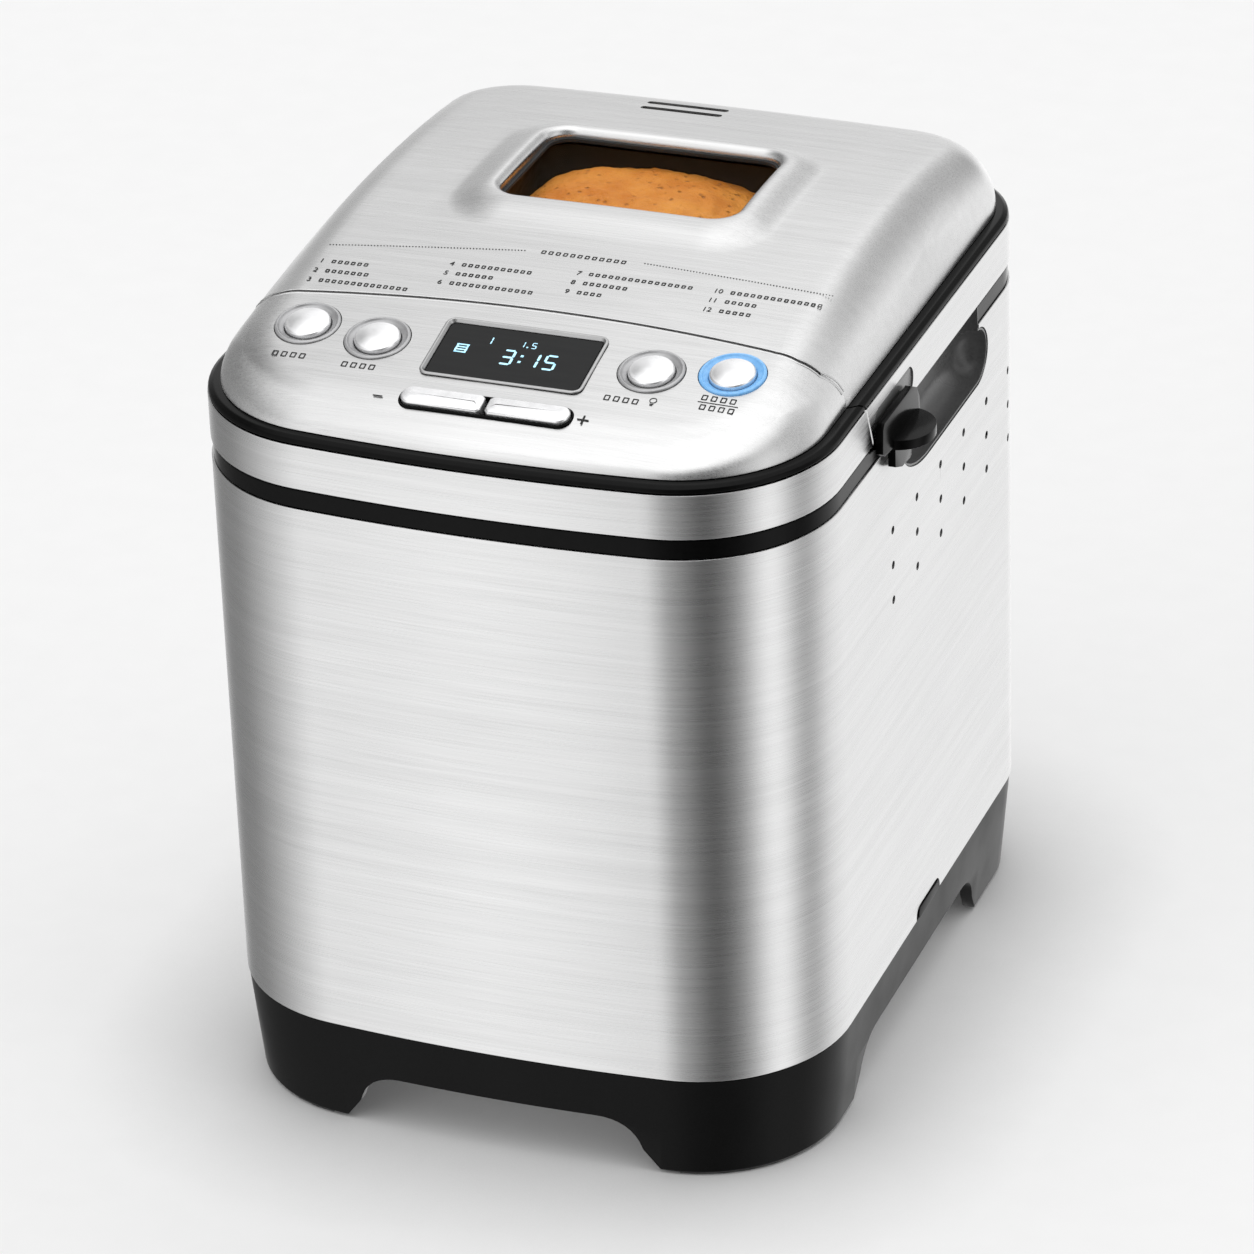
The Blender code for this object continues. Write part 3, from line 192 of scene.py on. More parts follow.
def noise(tree, place, scale, stretch=(1, 1, 1), detail=3.0, roughness=0.5):
    """Noise whose features are 1 / scale metres across, drawn out along each axis by 1 / stretch."""
    put = add(tree, "ShaderNodeMapping", Vector=place, Scale=stretch)
    made = add(tree, "ShaderNodeTexNoise", Vector=put.outputs[0], Scale=scale, Detail=detail)
    made.inputs["Roughness"].default_value = roughness
    return made.outputs["Fac"]


def sums(tree, operation, **inputs):
    """One step of arithmetic."""
    return add(tree, "ShaderNodeMath", {"operation": operation}, **inputs).outputs[0]


def blended(tree, share, first, second):
    """Two colours mixed by a share."""
    return add(tree, "ShaderNodeMix", {"data_type": "RGBA"}, in0=share, in6=first, in7=second).outputs[2]


def ramp(tree, factor, low, high, dark, light):
    """Spreads factor from low..high over the colours, or numbers, dark..light."""
    share = add(tree, "ShaderNodeMapRange", Value=factor, From_Min=low, From_Max=high)
    if isinstance(dark, float):
        share.inputs["To Min"].default_value = dark
        share.inputs["To Max"].default_value = light
        return share.outputs[0]
    return blended(tree, share.outputs[0], srgb(dark), srgb(light))


def bump(tree, shader, height, depth, strength=1.0):
    """Raises the surface by up to depth metres."""
    made = add(tree, "ShaderNodeBump", Height=height, Distance=depth, Strength=strength)
    tree.links.new(made.outputs[0], shader.inputs["Normal"])


# ---- Finishes ----
GRAIN = 1 / 0.0005  # real grit lines are about 0.05 mm wide; these are 0.5 mm, so that they show


def brushed_stainless(name, along, axis, rotation):
    """430 stainless sheet, brushed with grit 180: grain in one direction, and highlights drawn out across it."""
    made, tree, shader, place = new_material(name, Metallic=1.0, Anisotropic=0.80, Anisotropic_Rotation=rotation)
    fine = noise(tree, place, GRAIN, along, 4.0, 0.65)
    broad = noise(tree, place, GRAIN / 7, along, 2.0)
    cloud = noise(tree, place, 14.0, (1, 1, 1), 2.0)
    both = sums(tree, "MULTIPLY_ADD", in0=broad, in1=0.35, in2=fine)
    shade = sums(tree, "MULTIPLY_ADD", in0=cloud, in1=0.25, in2=both)
    tree.links.new(ramp(tree, shade, 0.50, 1.10, "#bcbcbc", "#d2d2d2"), shader.inputs["Base Color"])
    tree.links.new(ramp(tree, fine, 0.30, 0.70, 0.25, 0.32), shader.inputs["Roughness"])
    tangent = add(tree, "ShaderNodeTangent", {"direction_type": "RADIAL", "axis": axis})
    tree.links.new(tangent.outputs[0], shader.inputs["Tangent"])
    bump(tree, shader, fine, 0.00002, 0.25)
    return made


def moulded_plastic(name, colour, roughness, grain, depth, sheen=0.5):
    """ABS from a textured mould: an even colour with a very fine, shallow grain."""
    made, tree, shader, place = new_material(name, IOR=1.50, Specular_IOR_Level=sheen)
    speckle = noise(tree, place, grain, (1, 1, 1), 2.0)
    tree.links.new(ramp(tree, speckle, 0.3, 0.7, *colour), shader.inputs["Base Color"])
    broad = noise(tree, place, 30.0)
    tree.links.new(ramp(tree, broad, 0.35, 0.65, *roughness), shader.inputs["Roughness"])
    bump(tree, shader, speckle, depth, 0.4)
    return made


def toned(name, scale, colours, roughness, relief=None, texture=((1, 1, 1), 3.0, 0.5), spread=(0.3, 0.7), **inputs):
    """A finish whose colour, roughness and relief all follow one fine noise."""
    made, tree, shader, place = new_material(name, **inputs)
    marks = noise(tree, place, scale, *texture)
    tree.links.new(ramp(tree, marks, *spread, *colours), shader.inputs["Base Color"])
    tree.links.new(ramp(tree, marks, 0.3, 0.7, *roughness), shader.inputs["Roughness"])
    if relief:
        bump(tree, shader, marks, *relief)
    return made


def plain_metal(name, colours, roughness):
    """Bare or plated sheet and bar: bright, with light handling marks."""
    tones = (roughness, roughness + 0.12)
    return toned(name, 300.0, colours, tones, (0.00003, 0.4), ((1, 1, 1), 4.0, 0.6), Metallic=1.0)


def coated_sheet(name, dark, light, roughness):
    """Aluminised or non-stick coated steel: dark, satin, with the coating's orange peel and pale specks. The
    non-stick coating is dark itself; the aluminised sheet's near-black is painted shade.
    """
    made, tree, shader, place = new_material(
        name, Metallic=0.15, Specular_IOR_Level=0.20, Coat_Weight=0.04, Coat_Roughness=0.30
    )
    specks = noise(tree, place, 900.0, (1, 1, 1), 1.0)
    peel = noise(tree, place, 260.0, (1, 1, 1), 2.0)
    tree.links.new(ramp(tree, specks, 0.58, 0.72, dark, light), shader.inputs["Base Color"])
    tree.links.new(ramp(tree, peel, 0.3, 0.7, roughness, roughness + 0.15), shader.inputs["Roughness"])
    bump(tree, shader, peel, 0.00005, 0.5)
    return made


def lit_ring(name):
    """Frosted polycarbonate light guide over blue diodes: it glows evenly and still shades at its edges."""
    made, tree, shader, place = new_material(name, IOR=1.58, Emission_Strength=0.20)
    frost = noise(tree, place, 500.0)
    tree.links.new(ramp(tree, frost, 0.3, 0.7, "#6aa6dc", "#7cb4e4"), shader.inputs["Base Color"])
    tree.links.new(ramp(tree, frost, 0.3, 0.7, "#6fb0ea", "#86c0f2"), shader.inputs["Emission Color"])
    tree.links.new(ramp(tree, frost, 0.3, 0.7, 0.28, 0.36), shader.inputs["Roughness"])
    bump(tree, shader, frost, 0.00002, 0.3)
    return made


def display_segment(name):
    """Pale cyan display segments, lit from behind."""
    made, tree, shader, place = new_material(name, Roughness=0.4, Emission_Strength=0.85)
    glow = noise(tree, place, 900.0)
    tree.links.new(ramp(tree, glow, 0.3, 0.7, "#9fd4ea", "#c4ecf8"), shader.inputs["Emission Color"])
    tree.links.new(ramp(tree, glow, 0.3, 0.7, "#7fb4cc", "#a4d4e6"), shader.inputs["Base Color"])
    return made


def smoked_pane(name):
    """Tempered float glass, lightly smoked: the chamber shows through, under a soft reflection."""
    made, tree, shader, place = new_material(
        name, Base_Color=srgb("#0a0a0a"), IOR=1.52, Specular_IOR_Level=0.08, Alpha=0.06
    )
    smear = noise(tree, place, 40.0)
    tree.links.new(ramp(tree, smear, 0.3, 0.7, 0.02, 0.05), shader.inputs["Roughness"])
    return made


def crust(name):
    """Baked crust: golden orange, browner on its crest, with small pores and blisters. It glows a little: painted
    light that lifts it behind the smoked pane.
    """
    made, tree, shader, place = new_material(name, IOR=1.42, Emission_Strength=0.28)
    height = add(tree, "ShaderNodeSeparateXYZ", Vector=place).outputs["Z"]
    tan = noise(tree, place, 60.0, (1, 1, 1), 5.0, 0.6)
    lifted = ramp(tree, height, 0.250, 0.286, 0.0, 0.30)
    bake = sums(tree, "ADD", in0=tan, in1=lifted)
    base = ramp(tree, bake, 0.35, 0.95, "#f7ad4c", "#cf7a26")
    pores = add(tree, "ShaderNodeTexVoronoi", {"feature": "F1"}, Vector=place, Scale=260.0, Randomness=1.0)
    pits = ramp(tree, pores.outputs["Distance"], 0.04, 0.24, 0.0, 1.0)
    pitted = blended(tree, pits, srgb("#a86228"), base)
    tree.links.new(pitted, shader.inputs["Base Color"])
    # Painted light: the crust's own colour also glows, so the loaf stays bright behind the pane
    tree.links.new(pitted, shader.inputs["Emission Color"])
    tree.links.new(ramp(tree, tan, 0.3, 0.7, 0.48, 0.68), shader.inputs["Roughness"])
    wrinkle = noise(tree, place, 230.0, (1, 1, 1), 6.0, 0.62)
    relief = sums(tree, "MULTIPLY", in0=wrinkle, in1=pits)
    bump(tree, shader, relief, 0.0028, 1.0)
    return made


def solder_mask(name):
    """Green solder mask over copper tracks."""
    made, tree, shader, place = new_material(name, IOR=1.50)
    tracks = add(tree, "ShaderNodeTexBrick", Vector=place, Scale=90.0, Mortar_Size=0.04,
                 Color1=srgb("#12583a"), Color2=srgb("#15623f"), Mortar=srgb("#2b8a58"))
    tree.links.new(tracks.outputs[0], shader.inputs["Base Color"])
    tree.links.new(ramp(tree, noise(tree, place, 200.0), 0.3, 0.7, 0.30, 0.45), shader.inputs["Roughness"])
    return made


STEEL_BODY = brushed_stainless("brushed_stainless_round", (0.012, 0.012, 1.0), "Z", 0.25)
STEEL_TOP = brushed_stainless("brushed_stainless_across", (0.012, 1.0, 1.0), "X", 0.0)
ABS_BLACK = moulded_plastic(
    "black_textured_abs", ("#0b0b0b", "#121212"), (0.32, 0.40), 2200.0, 0.00003, sheen=0.06
)
ABS_GLOSS = moulded_plastic(
    "black_gloss_abs", ("#040404", "#070707"), (0.14, 0.20), 500.0, 0.00001, sheen=0.08
)
ABS_GREY = moulded_plastic(
    "dark_grey_satin_abs", ("#4a4a4a", "#525252"), (0.26, 0.34), 900.0, 0.00002, sheen=0.4
)
PLATED = plain_metal("zinc_plated_steel", ("#a8a8a8", "#c2c2c2"), 0.26)
BEZEL = plain_metal("satin_rolled_steel", ("#a4a4a4", "#b4b4b4"), 0.30)
# Painted shade: the aluminised sheet of the chamber and the lid lining is coloured near-black for the shade inside
# the closed chamber
TIN_PAINTED_AS_SHADE = coated_sheet("aluminised_sheet", "#100f0f", "#191818", 0.50)
NONSTICK = coated_sheet("nonstick_coating", "#28272a", "#55535a", 0.36)
# Satin chromed ABS of the caps and keys: nearly white, softly reflecting
CHROME = toned(
    "satin_chromed_abs", 220.0, ("#dededf", "#eaeaeb"), (0.20, 0.28), (0.00002, 0.3),
    Metallic=0.80, IOR=1.50, Coat_Weight=0.2, Coat_Roughness=0.10,
)
# Silver-grey painted ABS of the button surrounds
RING = toned(
    "silver_grey_abs", 300.0, ("#a9a9aa", "#b3b3b4"), (0.32, 0.42), (0.00002, 0.3), Metallic=0.50, IOR=1.50,
)
GLOW = lit_ring("frosted_light_guide")
# Black-backed acrylic over the display: polished, with faint hairlines
LCD = toned(
    "black_backed_acrylic", 600.0, ("#0d0e0f", "#131414"), (0.10, 0.16), (0.00001, 0.2),
    ((0.1, 1, 1), 2.0, 0.5), (0.4, 0.8), IOR=1.49, Specular_IOR_Level=0.20,
)
SEGMENT = display_segment("lit_display_segment")
# Pad-printed dark grey ink: matt, slightly uneven
INK = toned("pad_printed_ink", 1400.0, ("#161616", "#262626"), (0.55, 0.70), IOR=1.45)
PANE = smoked_pane("smoked_float_glass")
# Frosted borosilicate cover of the chamber's lamp: milky and softly glossy
LAMP = toned(
    "frosted_borosilicate", 1200.0, ("#cfcbbd", "#e6e2d6"), (0.30, 0.45),
    IOR=1.47, Coat_Weight=0.5, Coat_Roughness=0.08,
)
CRUST = crust("baked_crust")
BOARD = solder_mask("solder_mask")
RUBBER = moulded_plastic("nitrile_rubber", ("#1c1c1c", "#262626"), (0.65, 0.80), 1500.0, 0.00006)
MOTOR_CAN = plain_metal("phosphated_can", ("#7c7770", "#98928a"), 0.40)

SLOT_FINISH = {
    "brushed_steel": STEEL_BODY,
    "plain_steel": PLATED,
    "coated_steel": TIN_PAINTED_AS_SHADE,
    "nonstick_coating": NONSTICK,
    "black_plastic": ABS_BLACK,
    "dark_grey_plastic": ABS_GREY,
    "foot_rubber": RUBBER,
    "belt_rubber": RUBBER,
    "satin_button": CHROME,
    "grey_ring": RING,
    "lit_ring": GLOW,
    "display_glass": LCD,
    "window_glass": PANE,
    "lamp_glass": LAMP,
    "circuit_board": BOARD,
    "motor_can": MOTOR_CAN,
}


# ---- Loops in plan ----
def arc(centre, radius, start, end, steps):
    """Points along an arc, without its last one."""
    angles = (start + (end - start) * i / steps for i in range(steps))
    return [(centre[0] + radius * math.cos(a), centre[1] + radius * math.sin(a)) for a in angles]


def line(start, end, steps):
    """Points along a line, without its last one."""
    return [tuple(s + (e - s) * i / steps for s, e in zip(start, end)) for i in range(steps)]


def mirrored(half):
    return half + [(-x, y) for x, y in reversed(half[1:-1])]


def body_outline(offset=0.0, steps=FINE):
    """The machine's plan: bowed front, large front corners, straight sides and a flat rear."""
    half, rear = WIDTH / 2 + offset, DEPTH / 2 + offset
    bow, corner, back = FRONT_BOW + offset, FRONT_CORNER + offset, REAR_CORNER + offset
    bow_y = -rear + bow
    corner_x = half - corner
    corner_y = bow_y - math.sqrt((bow - corner) ** 2 - corner_x**2)
    meet = math.atan2(corner_y - bow_y, corner_x)
    return mirrored(
        arc((0, bow_y), bow, -math.pi / 2, meet, steps[0])
        + arc((corner_x, corner_y), corner, meet, 0, steps[1])
        + line((half, corner_y), (half, rear - back), steps[2])
        + arc((half - back, rear - back), back, 0, math.pi / 2, steps[3])
        + line((half - back, rear), (0, rear), steps[4])
        + [(0, rear)]
    )


def rounded_loop(half_x, half_y, radius, centre=(0.0, 0.0), steps=FINE):
    """A rounded rectangle with its points in the same order as body_outline."""
    low, high = centre[1] - half_y, centre[1] + half_y
    x = half_x - radius
    loop = mirrored(
        line((0, low), (x, low), steps[0])
        + arc((x, low + radius), radius, -math.pi / 2, 0, steps[1])
        + line((half_x, low + radius), (half_x, high - radius), steps[2])
        + arc((x, high - radius), radius, 0, math.pi / 2, steps[3])
        + line((x, high), (0, high), steps[4])
        + [(0, high)]
    )
    return [(a + centre[0], b) for a, b in loop]


SMALL = (1, 8, 1, 8, 1)  # for small rounded rectangles
BOX = (1, 2, 1, 2, 1)  # for the smallest


def at_height(loop, z):
    return [Vector((x, y, z)) for x, y in loop]


def mixed(first, second, share):
    return [(a + (c - a) * share, b + (d - b) * share) for (a, b), (c, d) in zip(first, second)]


# ---- Meshes ----
def as_object(name, points, faces):
    mesh = bpy.data.meshes.new(name)
    mesh.from_pydata([tuple(p) for p in points], [], faces)
    work = bmesh.new()
    work.from_mesh(mesh)
    bmesh.ops.remove_doubles(work, verts=work.verts, dist=1e-7)
    bmesh.ops.recalc_face_normals(work, faces=work.faces)
    work.to_mesh(mesh)
    work.free()
    made = bpy.data.objects.new(name, mesh)
    bpy.context.scene.collection.objects.link(made)
    return made


def loft(name, rings, closed=False):
    """Skins rings of equally many points. A closed loft joins its ends into a loop; an open one is capped."""
    count = len(rings[0])
    faces = []
    for k in range(len(rings) if closed else len(rings) - 1):
        low, high = k * count, (k + 1) % len(rings) * count
        for i in range(count):
            j = (i + 1) % count
            faces.append((low + i, low + j, high + j, high + i))
    if not closed:
        faces.append(tuple(reversed(range(count))))
        faces.append(tuple(range(count * (len(rings) - 1), count * len(rings))))
    return as_object(name, [p for ring in rings for p in ring], faces)


def prism(name, loop, low, high):
    return loft(name, [at_height(loop, low), at_height(loop, high)])


def side_prism(name, outline, low, high):
    """A prism along X from an outline of (y, z)."""
    return loft(name, [[Vector((x, y, z)) for y, z in outline] for x in (low, high)])


def block(name, low, high):
    loop = [(low[0], low[1]), (high[0], low[1]), (high[0], high[1]), (low[0], high[1])]
    return prism(name, loop, low[2], high[2])


def band(name, profile):
    """A ring round the body from a closed list of (offset from the outline, height)."""
    return loft(name, [at_height(body_outline(o), z) for o, z in profile], closed=True)


def lathe(name, profile, steps=48, closed=False):
    """Turns a profile of (radius, height) about the Z axis."""
    points, rows, faces = [], [], []
    for radius, z in profile:
        turns = 1 if radius == 0 else steps
        rows.append(list(range(len(points), len(points) + turns)))
        for i in range(turns):
            a = math.tau * i / steps
            points.append((radius * math.cos(a), radius * math.sin(a), z))
    pairs = list(zip(rows, rows[1:]))
    if closed:
        pairs.append((rows[-1], rows[0]))
    for low, high in pairs:
        for i in range(steps):
            j = (i + 1) % steps
            corners = [low[i % len(low)], low[j % len(low)], high[j % len(high)], high[i % len(high)]]
            face = tuple(dict.fromkeys(corners))
            if len(face) > 2:
                faces.append(face)
    return as_object(name, points, faces)


def tube(name, path, radius, sides=10, closed=False):
    """A round bead along a path."""
    curve = bpy.data.curves.new(name, "CURVE")
    curve.dimensions = "3D"
    curve.bevel_depth = radius
    curve.bevel_resolution = sides // 2 - 1
    curve.use_fill_caps = not closed
    spline = curve.splines.new("POLY")
    spline.points.add(len(path) - 1)
    spline.use_cyclic_u = closed
    for place, point in zip(spline.points, path):
        place.co = (*point, 1)
    made = bpy.data.objects.new(name, curve)
    bpy.context.scene.collection.objects.link(made)
    return settle(made)


def settle(piece):
    """Applies everything live on the piece, and leaves a plain mesh object of the same name."""
    graph = bpy.context.evaluated_depsgraph_get()
    mesh = bpy.data.meshes.new_from_object(piece.evaluated_get(graph), depsgraph=graph)
    mesh.transform(piece.matrix_world)
    name = piece.name
    bpy.data.objects.remove(piece)
    mesh.materials.clear()
    made = bpy.data.objects.new(name, mesh)
    bpy.context.scene.collection.objects.link(made)
    return made


def shaped(piece, operation, *others):
    """Cuts, keeps or fuses the piece with the others, which are used up."""
    for other in others:
        modifier = piece.modifiers.new(operation, "BOOLEAN")
        modifier.operation = operation
        modifier.object = other
    bpy.context.view_layer.update()
    piece = settle(piece)
    for other in others:
        bpy.data.objects.remove(other)
    return piece


def softened(piece, width, segments=3, angle=40):
    """Rounds the piece's sharp edges."""
    modifier = piece.modifiers.new("soft edges", "BEVEL")
    modifier.width = width
    modifier.segments = segments
    modifier.limit_method = "ANGLE"
    modifier.angle_limit = math.radians(angle)
    bpy.context.view_layer.update()
    return settle(piece)


def joined(name, pieces):
    """One object from several meshes."""
    work = bmesh.new()
    for piece in pieces:
        piece.data.transform(piece.matrix_world)
        work.from_mesh(piece.data)
        bpy.data.objects.remove(piece)
    mesh = bpy.data.meshes.new(name)
    work.to_mesh(mesh)
    work.free()
    made = bpy.data.objects.new(name, mesh)
    bpy.context.scene.collection.objects.link(made)
    return made


def place_piece(piece, body, material, slot, *nodes, smooth=38):
    """Shades a finished piece, puts it where the plan lies in the frame, and hands it to its body."""
    mesh = piece.data
    mesh.transform(Matrix.Translation(PLAN) @ piece.matrix_world)
    piece.matrix_world = Matrix.Identity(4)
    mesh.materials.clear()
    mesh.materials.append(material)
    mesh.shade_smooth()
    mesh.set_sharp_from_angle(angle=math.radians(smooth))
    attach(piece, body)
    if nodes:
        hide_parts(*nodes)
    return piece


# ---- The domed top ----
def top_height(x, y):
    fall = y - ARCH_Y
    arch = ARCH_RADIUS - math.sqrt(ARCH_RADIUS**2 - fall**2)
    return ARCH_PEAK - arch - x**2 / (2 * CROWN_RADIUS)


def top_tilt(y):
    return math.asin((ARCH_Y - y) / ARCH_RADIUS)


def panel_matrix(x, y, height=0.0):
    """Stands a piece on the panel, with its Z axis along the panel's normal."""
    tilt = top_tilt(y)
    up = Vector((0, -math.sin(tilt), math.cos(tilt)))
    return Matrix.Translation(Vector((x, y, top_height(x, y))) + up * height) @ Matrix.Rotation(tilt, 4, "X")


def dome(name, inset, base):
    """The solid under the whole domed top, with the window as a hole. inset moves its surface inwards."""
    start = RIM_OFFSET - inset
    reach = ROLL_REACH - inset
    low = RIM_Z - inset
    rings = [] if inset == 0 else [at_height(body_outline(start), base)]
    roll, slope, rise_steps, lip_steps = 14, 8, 12, 8
    for k in range(roll + 1):
        turn = math.pi / 2 * k / roll
        share = math.sin(turn)
        outline = body_outline(start - reach * (1 - math.cos(turn)))
        rings.append([Vector((x, y, low + (top_height(x, y) - inset - low) * share)) for x, y in outline])
    edge = body_outline(start - reach)
    foot = rounded_loop(*PLINTH_HALF, PLINTH_CORNER, (0, PLINTH_Y))
    grown = [h + LIP + inset for h in WINDOW_HALF]
    brow = rounded_loop(*grown, WINDOW_CORNER + LIP + inset, (0, WINDOW_Y))
    for k in range(1, slope + 1):
        loop = mixed(edge, foot, k / slope)
        rings.append([Vector((x, y, top_height(x, y) - inset)) for x, y in loop])
    for k in range(1, rise_steps + 1):
        share = k / rise_steps
        rise = PLINTH_RISE * share * share * (3 - 2 * share)
        loop = mixed(foot, brow, share)
        rings.append([Vector((x, y, top_height(x, y) - inset + rise)) for x, y in loop])
    for k in range(1, lip_steps + 1):
        turn = math.pi / 2 * k / lip_steps
        shrink = LIP * math.sin(turn)
        drop = LIP * (1 - math.cos(turn))
        halves = [h - shrink for h in grown]
        loop = rounded_loop(*halves, WINDOW_CORNER + LIP + inset - shrink, (0, WINDOW_Y))
        rings.append([Vector((x, y, top_height(x, y) - inset + PLINTH_RISE - drop)) for x, y in loop])
    foot_z = RIM_Z if inset == 0 else base
    rings.append([Vector((p.x, p.y, foot_z)) for p in rings[-1]])
    return loft(name, rings, closed=True)


def seam_line(shift, lean):
    """The seam in plan, from left to right. Only its ends, down the sides, lean back."""
    middle = [SEAM_HALF * i / 24 for i in range(25)]
    right = [(x, SEAM_Y - x**2 / (2 * SEAM_RADIUS) + shift) for x in middle]
    right += [(x, y + shift + (lean if x > SIDE_START else 0)) for x, y in SEAM_ENDS]
    return [(-x, y) for x, y in reversed(right[1:])] + right


def seam_side(shift, far_y):
    """Everything on one side of the seam, out to far_y."""
    rings = []
    for z, lean in ((0.235, SEAM_LEAN), (SPLIT_Z, SEAM_LEAN), (RIM_Z, 0.0), (0.310, 0.0)):
        edge = seam_line(shift, lean)
        rings.append(at_height(edge + [(edge[-1][0], far_y), (edge[0][0], far_y)], z))
    return loft("seam_side", rings)


def lid_side(wall=0.0):
    return seam_side(SEAM_GAP / 2 + wall, FAR)


def panel_side(wall=0.0):
    return seam_side(-SEAM_GAP / 2 - wall, -FAR)


def rolled_height(x, y):
    """The top's height near a straight side, down its rolled edge."""
    inset = WIDTH / 2 - abs(x) + RIM_OFFSET
    share = min(max(inset / ROLL_REACH, 0.0), 1.0)
    return RIM_Z + (top_height(x, y) - RIM_Z) * math.sqrt(1 - (1 - share) ** 2)


def seam_hem(name, shift, radius):
    """The rounded edge that the pressed sheet has along the seam."""
    limit = WIDTH / 2 + RIM_OFFSET
    path = []
    coarse = seam_line(shift, 0.0)
    for (ax, ay), (bx, by) in zip(coarse, coarse[1:]):
        steps = 4 if max(abs(ax), abs(bx)) > SEAM_HALF else 1
        path += line((ax, ay), (bx, by), steps)
    path = [(x, y) for x, y in path + [coarse[-1]] if abs(x) < limit - 0.0002]
    points = [Vector((x, y, rolled_height(x, y) - radius * 0.60)) for x, y in path]
    return tube(name, points, radius)


def shell_half(name, side, hem_shift, hem_radius):
    """The pressed steel cover on one side of the seam."""
    core = shaped(dome("core", SHEET, RIM_Z - 0.002), "INTERSECT", side(SHEET))
    cover = shaped(dome(name, 0.0, RIM_Z), "INTERSECT", side())
    return shaped(cover, "DIFFERENCE", core), seam_hem(f"{name}_hem", hem_shift, hem_radius)


def filleted(profile, radius, steps=4):
    """Rounds every corner of a closed profile, and leaves a short straight length beside each arc."""
    made = []
    count = len(profile)
    for i, here in enumerate(profile):
        here = Vector(here)
        back = Vector(profile[i - 1]) - here
        ahead = Vector(profile[(i + 1) % count]) - here
        reach = min(radius, 0.36 * back.length, 0.36 * ahead.length)
        start = here + back.normalized() * reach
        end = here + ahead.normalized() * reach
        made.append(here + back.normalized() * reach * 1.25)
        for k in range(steps + 1):
            t = k / steps
            made.append(start * (1 - t) ** 2 + here * 2 * t * (1 - t) + end * t**2)
        made.append(here + ahead.normalized() * reach * 1.25)
    return [tuple(p) for p in made]


def drilled(name, radius, depth=0.06, steps=64):
    """A round cutter about the Z axis."""
    return lathe(name, [(0, -depth), (radius, -depth), (radius, depth), (0, depth)], steps)


def stood(piece, x, y, height=0.0):
    """Puts a piece that was built about the origin on the panel."""
    piece.matrix_world = panel_matrix(x, y, height)
    return piece


def draped(piece, lift):
    """Lays a flat piece, built on the ground plane, over the domed top."""
    for vertex in piece.data.vertices:
        vertex.co.z += top_height(vertex.co.x, vertex.co.y) + lift
    return piece


def repeated(name, unit, columns, rows, finish):
    """A grid of copies of a small mesh. columns and rows are each (count, step), and the unit is used up."""
    tree = bpy.data.node_groups.new(f"{name}_copies", "GeometryNodeTree")
    face = tree.interface
    face.new_socket("Geometry", in_out="OUTPUT", socket_type="NodeSocketGeometry")
    source = face.new_socket("Unit", in_out="INPUT", socket_type="NodeSocketObject")
    counts, steps = [], []
    for axis in ("column", "row"):
        counts.append(face.new_socket(f"{axis} count", in_out="INPUT", socket_type="NodeSocketInt"))
        steps.append(face.new_socket(f"{axis} step", in_out="INPUT", socket_type="NodeSocketVector"))
    entry = add(tree, "NodeGroupInput").outputs
    shape = add(tree, "GeometryNodeObjectInfo", Object=entry["Unit"]).outputs["Geometry"]
    for axis in ("column", "row"):
        points = add(tree, "GeometryNodeMeshLine", Count=entry[f"{axis} count"], Offset=entry[f"{axis} step"])
        copies = add(tree, "GeometryNodeInstanceOnPoints", Points=points.outputs[0], Instance=shape)
        shape = add(tree, "GeometryNodeRealizeInstances", Geometry=copies.outputs[0]).outputs[0]
    painted = add(tree, "GeometryNodeSetMaterial", Geometry=shape, Material=finish)
    add(tree, "NodeGroupOutput", Geometry=painted.outputs[0])
    made = bpy.data.objects.new(name, bpy.data.meshes.new(name))
    bpy.context.scene.collection.objects.link(made)
    modifier = made.modifiers.new("copies", "NODES")
    modifier.node_group = tree
    modifier[source.identifier] = unit
    for (count, step), count_socket, step_socket in zip((columns, rows), counts, steps):
        modifier[count_socket.identifier] = count
        modifier[step_socket.identifier] = step
    bpy.context.view_layer.update()
    made = settle(made)
    bpy.data.objects.remove(unit)
    return made


# ---- Base ----
def arch_outline(foot, crown):
    """The arch's outline, with rounded shoulders. foot and crown are half its width at the ground and at its top."""
    shoulder, top = Vector((crown + 0.0042, ARCH_Z)), Vector((crown - 0.009, ARCH_Z))
    side = Vector((crown + 0.0075, ARCH_Z - 0.0120))
    right = [(foot, -0.005), (foot, GROUND)]
    for k in range(9):
        t = k / 8
        right.append(tuple(side * (1 - t) ** 2 + shoulder * 2 * t * (1 - t) + top * t**2))
    return right + [(-x, z) for x, z in reversed(right)]


